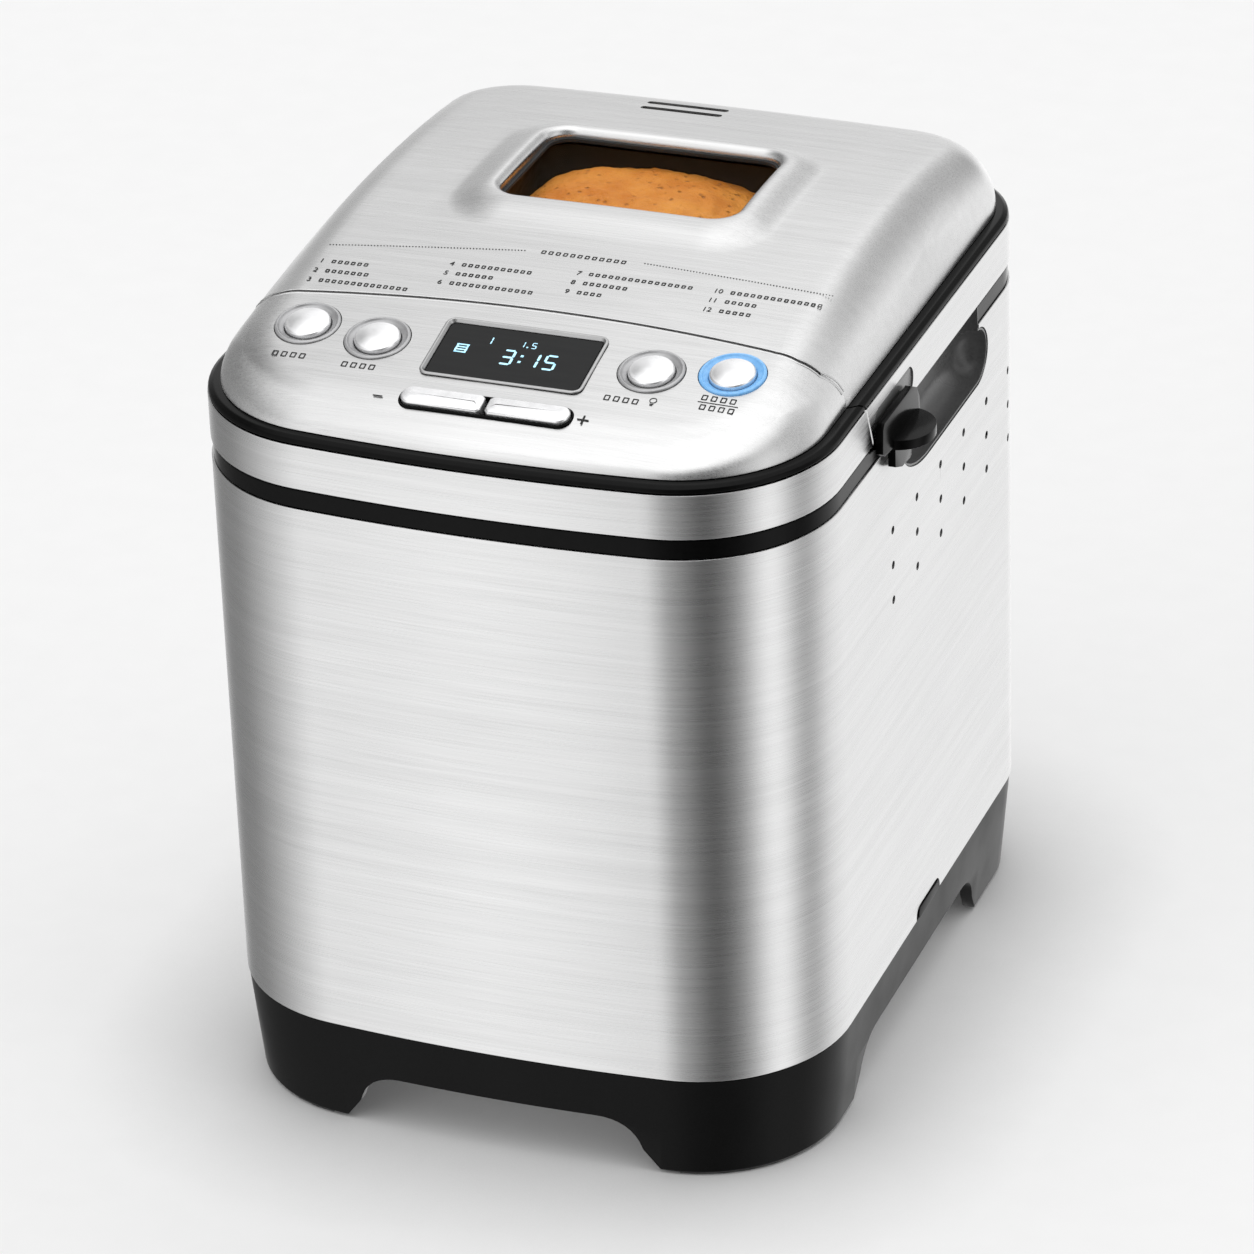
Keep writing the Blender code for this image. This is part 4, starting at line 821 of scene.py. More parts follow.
def make_base():
    profile = [
        (-0.0040, GROUND),
        (-0.0022, 0.0200),
        (-0.0004, SKIRT_TOP - GAP),
        (-SHEET - GAP, SKIRT_TOP - GAP),
        (-SHEET - GAP, 0.0470),
        (-0.0033, 0.0470),
        (-0.0033, 0.0324),
        (-0.0100, 0.0324),
        (-0.0100, 0.0290),
        (-0.0058, 0.0290),
        (-0.0085, GROUND),
    ]
    skirt = band("skirt", filleted(profile, 0.0009))
    front = arch_outline(0.0580, 0.0445)
    flank = [(y + 0.001, z) for y, z in arch_outline(0.0690, 0.0560)]
    across = side_prism("front_arch", front, -FAR, FAR)
    across.data.transform(Matrix.Rotation(math.pi / 2, 4, "Z"))
    skirt = shaped(skirt, "DIFFERENCE", across, side_prism("side_arch", flank, -FAR, FAR))
    skirt = softened(skirt, 0.0007, 3, 50)
    place_piece(skirt, "machine", ABS_BLACK, "black_plastic", "base_skirt")
    tongue = rounded_loop(0.0112, 0.0021, 0.0018, (CLIP_Y, SKIRT_TOP + 0.0021), SMALL)
    clip = side_prism("seam_tongue", tongue, WIDTH / 2 - 0.0010, WIDTH / 2 + 0.0004)
    clip = softened(clip, 0.00025)
    place_piece(clip, "machine", ABS_BLACK, "black_plastic", "seam_clip")


# ---- Body ----
def oval(centre, radii, grow, start, end, steps):
    """Points along part of an ellipse, without its last one."""
    round_one = arc((0, 0), 1.0, start, end, steps)
    return [(centre[0] + (radii[0] + grow) * x, centre[1] + (radii[1] + grow) * y) for x, y in round_one]


def finger_outline(grow):
    """The finger recess from the side, as (y, z). Its front corner is long, and its rear bulges."""
    low, high = FINGER_Y
    lid = SPLIT_Z - 2 * GAP + max(grow, 0) * 10
    rear = (high - 0.0021, FINGER_Z + FINGER_REAR[1])
    front = (low + FINGER_FRONT[0], FINGER_Z + FINGER_FRONT[1])
    outline = [(high + grow, lid)]
    outline += oval(rear, FINGER_REAR, grow, math.radians(80), -math.pi / 2, 30)
    outline += oval(front, FINGER_FRONT, grow, -math.pi / 2, -math.pi, 24)
    return outline + [(low - grow, front[1]), (low - grow, lid)]


def make_body():
    wall = [(0, SKIRT_TOP), (0, BODY_TOP), (-SHEET, BODY_TOP), (-SHEET, SKIRT_TOP)]
    wrap = band("wrap_sheet", filleted(wall, 0.0004))
    drill = drilled("vent_drill", 0.0015, FAR, 32)
    drill.data.transform(Matrix.Translation((0, -0.029, 0.178)) @ Matrix.Rotation(math.pi / 2, 4, "Y"))
    vents = repeated("vent_drills", drill, (6, (0, 0.0259, 0)), (3, (0, 0, 0.0132)), STEEL_BODY)
    notch = rounded_loop(0.0130, 0.0050, 0.0040, (CLIP_Y, SKIRT_TOP), SMALL)
    wrap = shaped(
        wrap,
        "DIFFERENCE",
        vents,
        block("rear_opening", (-0.066, 0.120, 0.052), (0.066, 0.150, 0.226)),
        side_prism("finger_cut", finger_outline(GAP), 0.095, 0.140),
        side_prism("tongue_notch", notch, 0.1, 0.2),
    )
    place_piece(wrap, "machine", STEEL_BODY, "brushed_steel", "body_wrap")
    profile = [
        (-0.0006, BODY_TOP + GAP),
        (-0.0006, SPLIT_Z - GAP),
        (-0.0100, SPLIT_Z - GAP),
        (-0.0100, 0.2414),
        (-0.0034, 0.2414),
        (-0.0034, 0.2300),
        (-SHEET - GAP, 0.2300),
        (-SHEET - GAP, BODY_TOP + GAP),
    ]
    rim = band("rim_moulding", filleted(profile, 0.0006))
    rim = shaped(rim, "DIFFERENCE", side_prism("rim_cut", finger_outline(GAP), 0.095, 0.140))
    place_piece(rim, "machine", ABS_GLOSS, "black_plastic", "upper_rim")
    side = WIDTH / 2
    cup = side_prism("finger_cup", finger_outline(0.0), 0.0980, side - GAP)
    hollow = []
    for k in range(13):
        turn = math.pi / 2 * k / 12
        x, wall = 0.1092 - 0.0097 * math.cos(turn), 0.0088 - 0.0080 * math.sin(turn)
        hollow.append([Vector((x, y, z)) for y, z in finger_outline(-wall)])
    hollow.append([Vector((0.120, y, z)) for y, z in finger_outline(-0.0008)])
    front, back = FINGER_Y[0] + 0.0025, FINGER_Y[1] - 0.0025
    cup = shaped(
        cup,
        "DIFFERENCE",
        loft("scoop", hollow),
        block("scoop_top", (0.0995, front, 0.2430), (0.130, back, 0.260)),
    )
    cup = softened(cup, 0.0005, 3, 50)
    place_piece(cup, "machine", ABS_GREY, "dark_grey_plastic", "finger_recess")
    make_rear()


def make_rear():
    panel = block("rear_grille", (-0.0655, 0.1335, 0.0525), (0.0655, PANEL_FACE_Y, 0.2255))
    slot = prism("louvre", rounded_loop(0.045, 0.00175, 0.0017, (0, 0), SMALL), -0.020, 0.020)
    slot.data.transform(Matrix.Translation((0, 0.1346, 0.15175)) @ Matrix.Rotation(math.pi / 2, 4, "X"))
    slots = repeated("louvres", slot, (7, (0, 0, 0.009)), (1, (0, 0, 0.009)), ABS_BLACK)
    bore = drilled("cord_bore", 0.0060, 0.02)
    bore.data.transform(Matrix.Translation(CORD_PLACE) @ Matrix.Rotation(math.pi / 2, 4, "X"))
    panel = softened(shaped(panel, "DIFFERENCE", slots, bore), 0.0004, 3, 50)
    place_piece(panel, "machine", ABS_BLACK, "black_plastic", "rear_panel")
    profile = [
        (0.0030, -0.0040),
        (0.0057, -0.0040),
        (0.0057, 0.0003),
        (0.0085, 0.0003),
        (0.0085, 0.0020),
        (0.0050, 0.0035),
        (0.0045, 0.0090),
        (0.0030, 0.0090),
    ]
    gland = lathe("gland_moulding", filleted(profile, 0.0004), 48, closed=True)
    gland.data.transform(Matrix.Translation(CORD_PLACE) @ Matrix.Rotation(-math.pi / 2, 4, "X"))
    place_piece(gland, "machine", RUBBER, "black_plastic", "cord_gland")


# ---- Bead and band, both halves ----
BEAD = [
    (-0.0006, TRIM_Z + GAP),
    (-0.0001, 0.2617),
    (-0.0005, 0.2628),
    (-0.0020, 0.2637),
    (-0.0044, 0.2640),
    (-0.0062, 0.2640),
    (-0.0062, 0.2580),
    (-SHEET - GAP, 0.2580),
    (-SHEET - GAP, TRIM_Z + GAP),
]
STRIP = [(0, SPLIT_Z + GAP), (0, TRIM_Z), (-SHEET, TRIM_Z), (-SHEET, SPLIT_Z + GAP)]


def make_edges():
    for body, side, label, bead_node, strip_node in (
        ("machine", panel_side, "panel", "control_trim", "control_band"),
        ("lid", lid_side, "lid", "lid_trim", "lid_band"),
    ):
        bead = shaped(band(f"{label}_bead", filleted(BEAD, 0.0004)), "INTERSECT", side())
        strip = shaped(band(f"{label}_strip", filleted(STRIP, 0.00045)), "INTERSECT", side())
        if body == "lid":
            hole = rounded_loop(0.0205, 0.0052, 0.0050, (-0.0260, 0.2510), SMALL)
            strip = shaped(strip, "DIFFERENCE", side_prism("backing_cut", hole, 0.105, 0.115))
        place_piece(bead, body, ABS_GLOSS, "black_plastic", bead_node)
        place_piece(strip, body, STEEL_BODY, "brushed_steel", strip_node)


# ---- Control panel ----
def make_panel():
    cover, hem = shell_half("panel_sheet", panel_side, -SEAM_GAP / 2 - 0.00050, 0.00050)
    cutters = [stood(drilled(f"{name}_bore", RING_RADIUS + GAP), x, y) for name, (x, y) in BUTTONS.items()]
    half_x, half_y = DISPLAY_HALF
    hole = rounded_loop(half_x + 0.0012, half_y + 0.0012, 0.003, (0, 0), SMALL)
    cutters.append(stood(prism("display_bore", hole, -0.02, 0.02), 0, DISPLAY_Y))
    slot_half = KEY_X + KEY_HALF[0] + 0.0010
    slot = rounded_loop(slot_half, KEY_HALF[1] + 0.0010, 0.0046, (0, 0), SMALL)
    cutters.append(stood(prism("key_bore", slot, -0.02, 0.02), 0, KEYS_Y))
    cover = shaped(cover, "DIFFERENCE", *cutters)
    sheet = joined("panel_sheet", [cover, hem])
    place_piece(sheet, "machine", STEEL_TOP, "brushed_steel", "control_fascia")
    for name, (x, y) in BUTTONS.items():
        make_button(name, x, y)
    make_display()
    make_keys()


def make_button(name, x, y):
    seat = [
        (BUTTON_RADIUS + GAP, -0.0028),
        (RING_RADIUS, -0.0028),
        (RING_RADIUS, 0.0004),
        (RING_RADIUS - 0.0009, 0.0008),
        (RING_RADIUS - 0.0015, 0.0001),
        (BUTTON_RADIUS + GAP, -0.0006),
    ]
    ring = stood(lathe(f"{name}_surround", filleted(seat, 0.0003), 96, closed=True), x, y)
    lit = name == "start"
    place_piece(ring, "machine", GLOW if lit else RING, "lit_ring" if lit else "grey_ring", f"{name}_ring")
    cap = [(0, -0.0056), (0.0030, -0.0056), (0.0030, -0.0044), (0.0095, -0.0044), (0.0095, -0.0032)]
    cap += [(BUTTON_RADIUS, -0.0032), (BUTTON_RADIUS, -0.0001), (BUTTON_RADIUS, 0.0001)]
    for k in range(7):
        turn = math.pi / 2 * k / 6
        cap.append((BUTTON_RADIUS - 0.0009 * (1 - math.cos(turn)), 0.0003 + 0.0009 * math.sin(turn)))
    edge = BUTTON_RADIUS - 0.0009
    for k in range(1, 9):
        share = 1 - k / 8
        cap.append((edge * share, 0.0012 + 0.0010 * (1 - share**2)))
    top = stood(lathe(f"{name}_cap", cap, 96), x, y)
    place_piece(top, f"{name}_push", CHROME, "satin_button", f"{name}_button")


def make_display():
    half_x, half_y = DISPLAY_HALF
    frame_profile = [
        (0.0009, -0.0020),
        (0.0009, 0.0001),
        (0.0020, 0.0001),
        (0.0017, 0.0005),
        (0.0010, 0.0006),
        (0.0002, -0.0005),
        (0.0002, -0.0020),
    ]
    rings = []
    for grow, z in filleted(frame_profile, 0.00025, 3):
        rings.append(at_height(rounded_loop(half_x + grow, half_y + grow, 0.0016 + grow, (0, 0), SMALL), z))
    surround = stood(loft("display_frame", rings, closed=True), 0, DISPLAY_Y)
    place_piece(surround, "machine", BEZEL, "brushed_steel", "display_bezel")
    pane = rounded_loop(half_x - 0.0001, half_y - 0.0001, 0.0015, (0, 0), SMALL)
    glass = stood(prism("display_pane", pane, -0.0022, -0.0006), 0, DISPLAY_Y)
    place_piece(glass, "machine", LCD, "display_glass", "display_lens")
    glyphs = [number("3", -0.0022, -0.0007), number("1", 0.0066, -0.0007), number("5", 0.0128, -0.0007)]
    for y in (-0.0023, 0.0008):
        glyphs.append(block("colon", (0.0020, y - 0.0005, 0), (0.0030, y + 0.0005, PRINT)))
    glyphs.append(number("1", -0.0112, 0.0067, 0.0036))
    glyphs.append(number("1", 0.0004, 0.0068, 0.0028))
    glyphs.append(number("5", 0.0046, 0.0068, 0.0028))
    glyphs.append(block("point", (0.0022, 0.0053, 0), (0.0028, 0.0059, PRINT)))
    for k in range(4):
        y = 0.0029 - 0.0013 * k
        reach = 0.0022 - 0.0002 * (k % 2)
        low, high = (-0.0190 - reach, y - 0.0003, 0), (-0.0190 + reach, y + 0.0003, PRINT)
        glyphs.append(block("loaf_icon", low, high))
    for x in (-0.0208, -0.0172):
        glyphs.append(block("loaf_icon", (x - 0.0003, -0.0013, 0), (x + 0.0003, 0.0032, PRINT)))
    lit = stood(joined("display_digits", glyphs), 0, DISPLAY_Y, -0.0006 + PRINT / 2)
    place_piece(lit, "machine", SEGMENT, "display_glass")


SEGMENTS = {"1": "bc", "3": "abgcd", "5": "afgcd"}


def number(digit, x, y, height=0.0071):
    """A seven-segment digit whose middle is at x, y."""
    wide, half, thick = height * 0.52, height / 2, height * 0.12
    bars = {
        "a": (-wide / 2, half, wide / 2, half),
        "g": (-wide / 2, 0, wide / 2, 0),
        "d": (-wide / 2, -half, wide / 2, -half),
        "f": (-wide / 2, 0, -wide / 2, half),
        "b": (wide / 2, 0, wide / 2, half),
        "c": (wide / 2, -half, wide / 2, 0),
    }
    pieces = []
    for key in SEGMENTS[digit]:
        ax, ay, bx, by = bars[key]
        start, end = Vector((ax, ay)), Vector((bx, by))
        along = (end - start).normalized() * thick / 2
        off = Vector((-along.y, along.x))
        loop = [start + along * 0.25, start + along * 1.15 - off, end - along * 1.15 - off]
        loop += [end - along * 0.25, end - along * 1.15 + off, start + along * 1.15 + off]
        pieces.append(prism("segment", [(p.x + x, p.y + y) for p in loop], 0, PRINT))
    return joined(f"digit_{digit}", pieces)


def key_outline(grow):
    """Half of a pill: square at the machine's middle, round at its outer end."""
    x, y = KEY_HALF[0] + grow, KEY_HALF[1] + grow
    radius = y - 0.0002
    inner = 0.0012  # chamfer next to the other key
    outline = arc((x - radius, -y + radius), radius, -math.pi / 2, 0, 14)
    outline += arc((x - radius, y - radius), radius, 0, math.pi / 2, 14)
    return outline + [(x - radius, y), (-x + inner, y), (-x, y - inner), (-x, -y + inner), (-x + inner, -y)]


def make_keys():
    reach = KEY_X + KEY_HALF[0] + 0.0007
    outer = rounded_loop(reach, KEY_HALF[1] + 0.0007, 0.0043, (0, 0), SMALL)
    inner = rounded_loop(reach - 0.0003, KEY_HALF[1] + 0.0004, 0.0040, (0, 0), SMALL)
    rings = [at_height(loop, z) for loop, z in ((outer, -0.0050), (outer, 0.0002), (inner, 0.0002), (inner, -0.0042))]
    well = stood(loft("key_tray", rings), 0, KEYS_Y)
    place_piece(well, "machine", ABS_BLACK, "black_plastic", "key_well")
    for name, side in (("minus", -1), ("plus", 1)):
        steps = [(0.0, -0.0028), (0.0, 0.0006), (0.0, 0.0009)]
        for k in range(1, 7):
            turn = math.pi / 2 * k / 6
            steps.append((-0.0007 * (1 - math.cos(turn)), 0.0009 + 0.0007 * math.sin(turn)))
        steps += [(-0.0012, 0.00168), (-0.0030, 0.00185)]
        rings = [[Vector((side * x, y, z)) for x, y in key_outline(grow)] for grow, z in steps]
        key = stood(loft(f"{name}_cap", rings), side * KEY_X, KEYS_Y)
        place_piece(key, f"{name}_push", CHROME, "satin_button", f"{name}_key")


# ---- Lid ----
def make_lid():
    cover, hem = shell_half("lid_sheet", lid_side, SEAM_GAP / 2 + 0.00035, 0.00035)
    slot = prism("steam_slot", rounded_loop(0.0152, 0.0016, 0.0015, (-0.0105, 0.1005), SMALL), 0.27, 0.31)
    slots = repeated("steam_slots", slot, (2, (0, 0.0070, 0)), (1, (0, 0, 0)), STEEL_TOP)
    cover = shaped(cover, "DIFFERENCE", slots)
    grown = [h + 0.0018 for h in WINDOW_HALF]
    under_pane = rounded_loop(*grown, WINDOW_CORNER + 0.0018, (0, WINDOW_Y))
    cover = shaped(cover, "DIFFERENCE", prism("under_pane", under_pane, 0.2550, PANE_TOP + 0.0001))
    place_piece(joined("lid_sheet", [cover, hem]), "lid", STEEL_TOP, "brushed_steel", "lid_cover")
    pane_loop = rounded_loop(WINDOW_HALF[0] + 0.0035, WINDOW_HALF[1] + 0.0035, 0.011, (0, WINDOW_Y))
    pane = prism("window_pane", pane_loop, PANE_LOW, PANE_TOP)
    place_piece(pane, "lid", PANE, "window_glass", "window_glass")
    seals = []
    # (inner, outer, low, high, corner, fillet) of the seal round the pane's edge and of its bead on the pane
    for inner, outer, low, high, corner, fillet in (
        (0.0038, 0.0052, PANE_LOW - 0.0003, PANE_TOP + 0.0003, 0.0077, 0.0003),
        (-0.0012, 0.0006, PANE_TOP, PANE_TOP + 0.0013, WINDOW_CORNER, 0.0002),
    ):
        rings = []
        for grow, z in filleted([(inner, low), (inner, high), (outer, high), (outer, low)], fillet):
            loop = rounded_loop(WINDOW_HALF[0] + grow, WINDOW_HALF[1] + grow, corner + grow, (0, WINDOW_Y))
            rings.append(at_height(loop, z))
        seals.append(loft("window_seal", rings, closed=True))
    place_piece(joined("window_seal", seals), "lid", RUBBER, "black_plastic", "window_gasket")
    make_liner()
    make_tab()


def make_liner():
    low = SPLIT_Z + 0.0009
    liner = shaped(prism("lid_lining", body_outline(-0.0066), low, 0.2639), "INTERSECT", lid_side())
    core = prism("liner_core", body_outline(-0.0086), low + 0.0020, 0.290)
    liner = shaped(liner, "DIFFERENCE", shaped(core, "INTERSECT", lid_side(0.0020)))
    mouth, throat = (0.062, 0.060), (WINDOW_HALF[0] + 0.0025, WINDOW_HALF[1] + 0.0025)
    outside, inside = [], []
    for (hx, hy), z, middle in ((mouth, low, OVEN_Y), (throat, 0.2885, WINDOW_Y)):
        outside.append(at_height(rounded_loop(hx + 0.0020, hy + 0.0020, 0.012, (0, middle)), z))
    for (hx, hy), z, middle in ((mouth, SPLIT_Z, OVEN_Y), (throat, 0.2890, WINDOW_Y)):
        inside.append(at_height(rounded_loop(hx, hy, 0.010, (0, middle)), z))
    liner = shaped(shaped(liner, "UNION", loft("chimney", outside)), "DIFFERENCE", loft("flare", inside))
    place_piece(liner, "lid", TIN_PAINTED_AS_SHADE, "coated_steel", "lid_liner")


def make_tab():
    side = WIDTH / 2
    half_y, half_z = 0.0205 - GAP, 0.0052 - GAP
    plug = [(y - 0.0260, z) for y, z in rounded_loop(half_y, half_z, half_z - 0.0002, (0, 0.2510), SMALL)]
    backing = softened(side_prism("tab_backing", plug, side - 0.0060, side - 0.0004), 0.0004)
    place_piece(backing, "lid", ABS_GREY, "dark_grey_plastic", "handle_backing")
    tab = side_prism("lifting_tab", FIN, side + 0.0008, side + 0.0034)
    root = side + 0.0010
    shelf = []
    for k in range(65):
        turn = math.pi * (k / 64 - 0.5)
        shelf.append((root + TAB_REACH * math.cos(turn), TAB_Y + TAB_HALF * math.sin(turn)))
    tab = shaped(
        tab,
        "UNION",
        prism("shelf", shelf, TAB_Z - TAB_THICK / 2, TAB_Z + TAB_THICK / 2),
        block("root", (side - 0.0002, -0.0330, 0.2465), (side + 0.0015, -0.0120, 0.2480)),
    )
    tab = softened(tab, 0.0006, 4, 50)
    place_piece(tab, "lid", ABS_GLOSS, "black_plastic", "lid_handle")


# ---- Loaf in the pan ----
def make_loaf():
    """A risen loaf: it fills the pan, and its crown domes up under the window."""
    turns, crown_rings, side_rings = 220, 70, 14
    points, faces = [], []
    for k in range(crown_rings + side_rings + 1):
        if k <= crown_rings:
            share = k / crown_rings
            half_x, half_y = LOAF_HALF[0] * share, LOAF_HALF[1] * share
            drop = CROWN_DEPTH * (1 - math.sqrt(1 - (0.96 * share) ** 3))
            centre = (-0.010 * (1 - share**1.5), OVEN_Y + 0.007 * (1 - share**1.5))
            z = CROWN_Z - drop
        else:
            share = (k - crown_rings) / side_rings
            half_x = LOAF_HALF[0] - 0.0010 * share
            half_y = LOAF_HALF[1] + 0.0080 * math.sin(math.pi * share)
            centre = (0, OVEN_Y)
            z = CROWN_Z - CROWN_DEPTH * (1 - math.sqrt(1 - 0.96**3)) - LOAF_SIDE * share
        for i in range(turns):
            a = math.tau * i / turns
            c, s = math.cos(a), math.sin(a)
            square = (abs(c) ** 4 + abs(s) ** 4) ** -0.25 if k else 1.0
            shape = 1 + (square - 1) * min(1.0, share if k <= crown_rings else 1.0)
            x, y = centre[0] + half_x * c * shape, centre[1] + half_y * s * shape
            spot = Vector((x, y, z))
            lumps = field.fractal(spot * 55, 0.9, 2.1, 4) * 0.0013
            wrinkles = field.fractal(spot * 240, 0.8, 2.2, 3) * 0.00045
            points.append(spot + Vector((0, 0, lumps + wrinkles)))
    count = crown_rings + side_rings
    for k in range(count):
        for i in range(turns):
            j = (i + 1) % turns
            faces.append((k * turns + i, k * turns + j, (k + 1) * turns + j, (k + 1) * turns + i))
    faces.append(tuple(count * turns + i for i in range(turns)))
    loaf = as_object("loaf", points, faces)
    place_piece(loaf, "pan", CRUST, None, smooth=80)
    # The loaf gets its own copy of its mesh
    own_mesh(loaf)


# ---- Print on the lid and the panel ----
def bar(x, y, length, height):
    """A solid rule."""
    loop = rounded_loop(length / 2, height / 2, height * 0.30, (x + length / 2, y), SMALL)
    return prism("bar", loop, 0, PRINT)


def word(x, y, length, height):
    """A row of small empty boxes that stands where a word would."""
    pitch = height * 1.30
    count = max(2, round(length / pitch))
    rings = []
    for inset, z in ((0, 0), (0, PRINT), (0.00038, PRINT), (0.00038, 0)):
        loop = rounded_loop(height * 0.40 - inset, height / 2 - inset, 0.0002, (0, 0), BOX)
        rings.append(at_height(loop, z))
    unit = loft("blank_letter", rings, closed=True)
    made = repeated("blank_word", unit, (count, (pitch, 0, 0)), (1, (0, 0, 0)), INK)
    made.data.transform(Matrix.Translation((x + height * 0.40, y, 0)))
    return made


def figure(text, x, y, size):
    curve = bpy.data.curves.new("figure", "FONT")
    curve.body = text
    curve.size = size
    curve.extrude = PRINT / 2
    curve.resolution_u = 4
    made = bpy.data.objects.new("figure", curve)
    bpy.context.scene.collection.objects.link(made)
    made.location = (x, y - size * 0.35, PRINT / 2)
    bpy.context.view_layer.update()
    made = settle(made)
    work = bmesh.new()
    work.from_mesh(made.data)
    bmesh.ops.remove_doubles(work, verts=work.verts, dist=1e-6)
    work.to_mesh(made.data)
    work.free()
    return made


def dots(start, end, count):
    """A dotted rule between two places on the lid."""
    unit = lathe("dot", [(0, 0), (0.00026, 0), (0.00026, PRINT), (0, PRINT)], 12)
    step = ((end[0] - start[0]) / (count - 1), (end[1] - start[1]) / (count - 1), 0)
    rule = repeated("dotted_rule", unit, (count, step), (1, (0, 0, 0)), INK)
    rule.data.transform(Matrix.Translation((*start, 0)))
    return rule


COLUMNS = ((-0.0853, -0.0496), (-0.0406, -0.0430), (0.0036, -0.0394), (0.0519, -0.0388))
WORDS = (  # the length of each entry
    (0.0140, 0.0170, 0.0330),
    (0.0265, 0.0150, 0.0300),
    (0.0370, 0.0165, 0.0095),
    (0.0330, 0.0120, 0.0120),
)
ROW_STEP = -0.0057


def make_print():
    listing = [
        dots((-0.0857, -0.0397), (-0.0187, -0.0299), 62),
        dots((0.0238, -0.0285), (0.0911, -0.0319), 62),
        word(-0.0128, -0.0295, 0.0310, 0.0020),
    ]
    for column, ((x, y), lengths) in enumerate(zip(COLUMNS, WORDS)):
        for row, length in enumerate(lengths):
            label = str(3 * column + row + 1)
            indent = 0.0022 if len(label) == 1 else 0.0038
            listing.append(figure(label, x, y + ROW_STEP * row, 0.0034))
            listing.append(word(x + indent + 0.0022, y + ROW_STEP * row, length, 0.0018))
    place_piece(draped(joined("programme_list", listing), PRINT), "lid", INK, "black_plastic")
    panel = [
        word(-0.0810, -0.1015, 0.0120, 0.0025),
        word(-0.0555, -0.1030, 0.0141, 0.0025),
        word(0.0367, -0.1025, 0.0119, 0.0025),
        word(0.0680, -0.0957, 0.0135, 0.0025),
        bar(0.0674, -0.0980, 0.0138, 0.0003),
        word(0.0688, -0.1003, 0.0115, 0.0025),
        bar(-0.0392, -0.1159, 0.0034, 0.0006),
        bar(0.0317, -0.1143, 0.0040, 0.0006),
        block("upright", (0.0334, -0.1163, 0), (0.0340, -0.1123, PRINT)),
    ]
    bulb = lathe("bulb", [(0.0010, 0), (0.0013, 0), (0.0013, PRINT), (0.0010, PRINT)], 32, closed=True)
    bulb.data.transform(Matrix.Translation((0.0531, -0.1008, 0)))
    panel += [bulb, bar(0.0524, -0.1026, 0.0014, 0.0003), bar(0.0526, -0.1032, 0.0010, 0.0003)]
    place_piece(draped(joined("panel_marks", panel), PRINT), "machine", INK, "black_plastic")


# ---- The pieces that keep their plain shape ----
def softening():
    """Node group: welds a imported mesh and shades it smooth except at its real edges."""
    tree = bpy.data.node_groups.new("weld_and_shade", "GeometryNodeTree")
    tree.interface.new_socket("Geometry", in_out="INPUT", socket_type="NodeSocketGeometry")
    tree.interface.new_socket("Geometry", in_out="OUTPUT", socket_type="NodeSocketGeometry")
    entry = add(tree, "NodeGroupInput").outputs[0]
    welded = add(tree, "GeometryNodeMergeByDistance", Geometry=entry, Distance=0.00001).outputs[0]
    angle = add(tree, "GeometryNodeInputMeshEdgeAngle").outputs["Unsigned Angle"]
    limit = math.radians(34)
    gentle = add(tree, "FunctionNodeCompare", {"operation": "LESS_THAN"}, in0=angle, in1=limit).outputs[0]
    edges = add(tree, "GeometryNodeSetShadeSmooth", {"domain": "EDGE"}, Geometry=welded, Shade_Smooth=gentle)
    faces = add(tree, "GeometryNodeSetShadeSmooth", {"domain": "FACE"}, Geometry=edges.outputs[0])
    add(tree, "NodeGroupOutput", Geometry=faces.outputs[0])
    return tree


def finish_nodes():
    group = softening()
    slots = {row["node"]: row["material_slot"] for row in frame["record"]["subparts"]}
    for name, node in frame["nodes"].items():
        if node.hide_render:
            continue
        node.data.materials.clear()
        node.data.materials.append(SLOT_FINISH[slots[name]])
        node.modifiers.new("weld and shade", "NODES").node_group = group


make_base()
make_body()
make_edges()
make_panel()
make_lid()
make_loaf()
make_print()
finish_nodes()


# ---- Studio ----
# Softboxes and flags round the machine: (bearing from its front towards its right, in degrees; radiance)
LIGHTS = (
    (-180, 1.30),
    (-158, 1.28),
    (-130, 0.45),
    (-105, 0.34),
    (-86, 0.46),
    (-62, 0.80),
    (-42, 1.15),
    (-26, 1.46),
    (-18, 1.42),
    (-10, 1.16),
    (-2, 0.66),
    (14, 0.34),
    (36, 0.16),
    (58, 0.66),
    (80, 1.52),
    (106, 0.58),
    (132, 1.15),
    (158, 1.30),
    (170, 1.25),
    (180, 1.30),
)
OVERHEAD = 2.0  # radiance of the softbox above, which comes in between these two sines of elevation
OVERHEAD_FROM = 0.68
OVERHEAD_FULL = 0.99
# Dark cards above the machine: (direction, cosine of their half width, how much they take away)
CARDS = (
    ((0.22, 0.90, 0.33), 0.90, 0.60),
    ((-0.32, 0.93, 0.15), 0.94, 0.30),
    ((0.44, -0.45, 0.77), 0.92, 0.62),
)


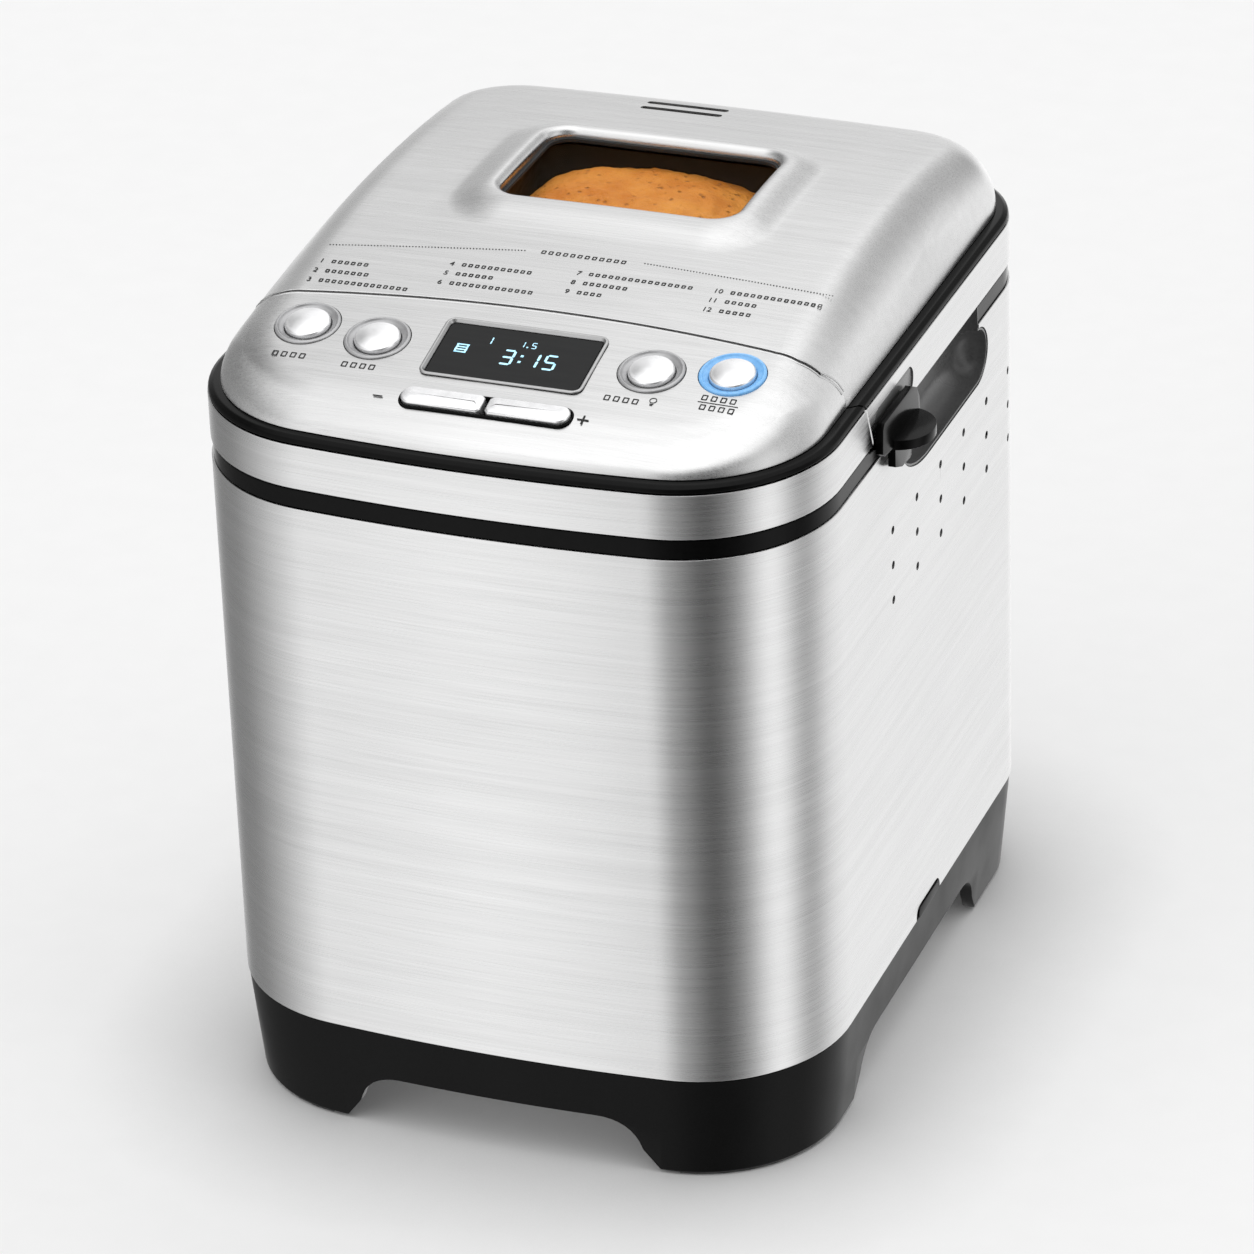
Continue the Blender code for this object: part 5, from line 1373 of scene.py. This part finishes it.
def studio_light():
    world = bpy.data.worlds.new("studio")
    bpy.context.scene.world = world
    world.use_nodes = True
    tree = world.node_tree
    tree.nodes.clear()
    way = add(tree, "ShaderNodeTexCoord").outputs["Generated"]
    split = add(tree, "ShaderNodeSeparateXYZ", Vector=way).outputs
    front = sums(tree, "MULTIPLY", in0=split["Y"], in1=-1.0)
    bearing = sums(tree, "ARCTAN2", in0=split["X"], in1=front)
    share = add(tree, "ShaderNodeMapRange", Value=bearing, From_Min=-math.pi, From_Max=math.pi).outputs[0]
    scale = max(strength for _, strength in LIGHTS)
    around = add(tree, "ShaderNodeValToRGB", Fac=share)
    around.color_ramp.interpolation = "CARDINAL"
    stops = around.color_ramp.elements
    while len(stops) < len(LIGHTS):
        stops.new(0.5)
    for stop, (degrees, strength) in zip(stops, LIGHTS):
        stop.position = degrees / 360 + 0.5
        level = strength / scale
        stop.color = (level, level, level, 1)
    level = sums(tree, "MULTIPLY", in0=around.outputs[0], in1=scale)
    smooth = {"interpolation_type": "SMOOTHSTEP"}
    lift = add(tree, "ShaderNodeMapRange", smooth, Value=split["Z"], From_Min=OVERHEAD_FROM, From_Max=OVERHEAD_FULL)
    mixing = add(tree, "ShaderNodeMix", {"data_type": "FLOAT"}, in0=lift.outputs[0], in2=level, in3=OVERHEAD)
    radiance = mixing.outputs[0]
    for direction, edge, taken in CARDS:
        facing = add(tree, "ShaderNodeVectorMath", {"operation": "DOT_PRODUCT"}, in0=way,
                     in1=Vector(direction).normalized()).outputs["Value"]
        kept = add(tree, "ShaderNodeMapRange", smooth, Value=facing, From_Min=edge, To_Min=1.0, To_Max=1.0 - taken)
        radiance = sums(tree, "MULTIPLY", in0=radiance, in1=kept.outputs[0])
    surface = add(tree, "ShaderNodeBackground", Color=srgb("#ffffff"), Strength=radiance)
    add(tree, "ShaderNodeOutputWorld", Surface=surface.outputs[0])
    world.cycles.sampling_method = "NONE"


PAPER_GLOW = 0.40  # the floor's own even glow; occlusion darkens it into a painted contact shadow near the machine


def floor():
    made, tree, shader, place = new_material("matt_paper_sweep", Roughness=0.9, Specular_IOR_Level=0.0)
    fibre = noise(tree, place, 60.0)
    tree.links.new(ramp(tree, fibre, 0.3, 0.7, "#b5b5b5", "#b7b7b7"), shader.inputs["Base Color"])
    # Painted shadow: ambient occlusion darkens the floor's glow close to the machine, as a contact shadow
    painted_shadow_mask = add(tree, "ShaderNodeAmbientOcclusion", {"samples": 12}, Distance=0.07).outputs["AO"]
    glow = sums(tree, "POWER", in0=painted_shadow_mask, in1=1.6)
    lit = sums(tree, "MULTIPLY", in0=glow, in1=PAPER_GLOW)
    shader.inputs["Emission Color"].default_value = srgb("#ffffff")
    tree.links.new(lit, shader.inputs["Emission Strength"])
    corners = [(-9, -9, 0), (9, -9, 0), (9, 9, 0), (-9, 9, 0)]
    sweep = as_object("paper_sweep", corners, [(0, 1, 2, 3)])
    sweep.data.materials.append(made)
    sweep.visible_glossy = False


# Camera: angles in radians from the machine's front, what it looks at, and how far away it stands
AZIMUTH = 0.375
ELEVATION = 0.487
ROLL = -0.036
TARGET = Vector((0.0117, -0.026, 0.1507))
DISTANCE = 2.135
LENS = 177.5  # millimetres, on a sensor of 36


def camera():
    """Looks down on the front from the machine's right, with a long lens."""
    across = math.cos(ELEVATION)
    back = Vector((math.sin(AZIMUTH) * across, -math.cos(AZIMUTH) * across, math.sin(ELEVATION)))
    level = Vector((0, 0, 1)).cross(back).normalized()
    upright = back.cross(level)
    right = level * math.cos(ROLL) + upright * math.sin(ROLL)
    up = upright * math.cos(ROLL) - level * math.sin(ROLL)
    lens = bpy.data.cameras.new("camera")
    lens.lens = LENS
    lens.sensor_width = 36.0
    made = bpy.data.objects.new("camera", lens)
    turn = Matrix((right, up, back)).transposed().to_4x4()
    made.matrix_world = Matrix.Translation(PLAN + TARGET + back * DISTANCE) @ turn
    bpy.context.scene.collection.objects.link(made)
    bpy.context.scene.camera = made
    bpy.context.scene.view_settings.view_transform = "Standard"


studio_light()
floor()
camera()
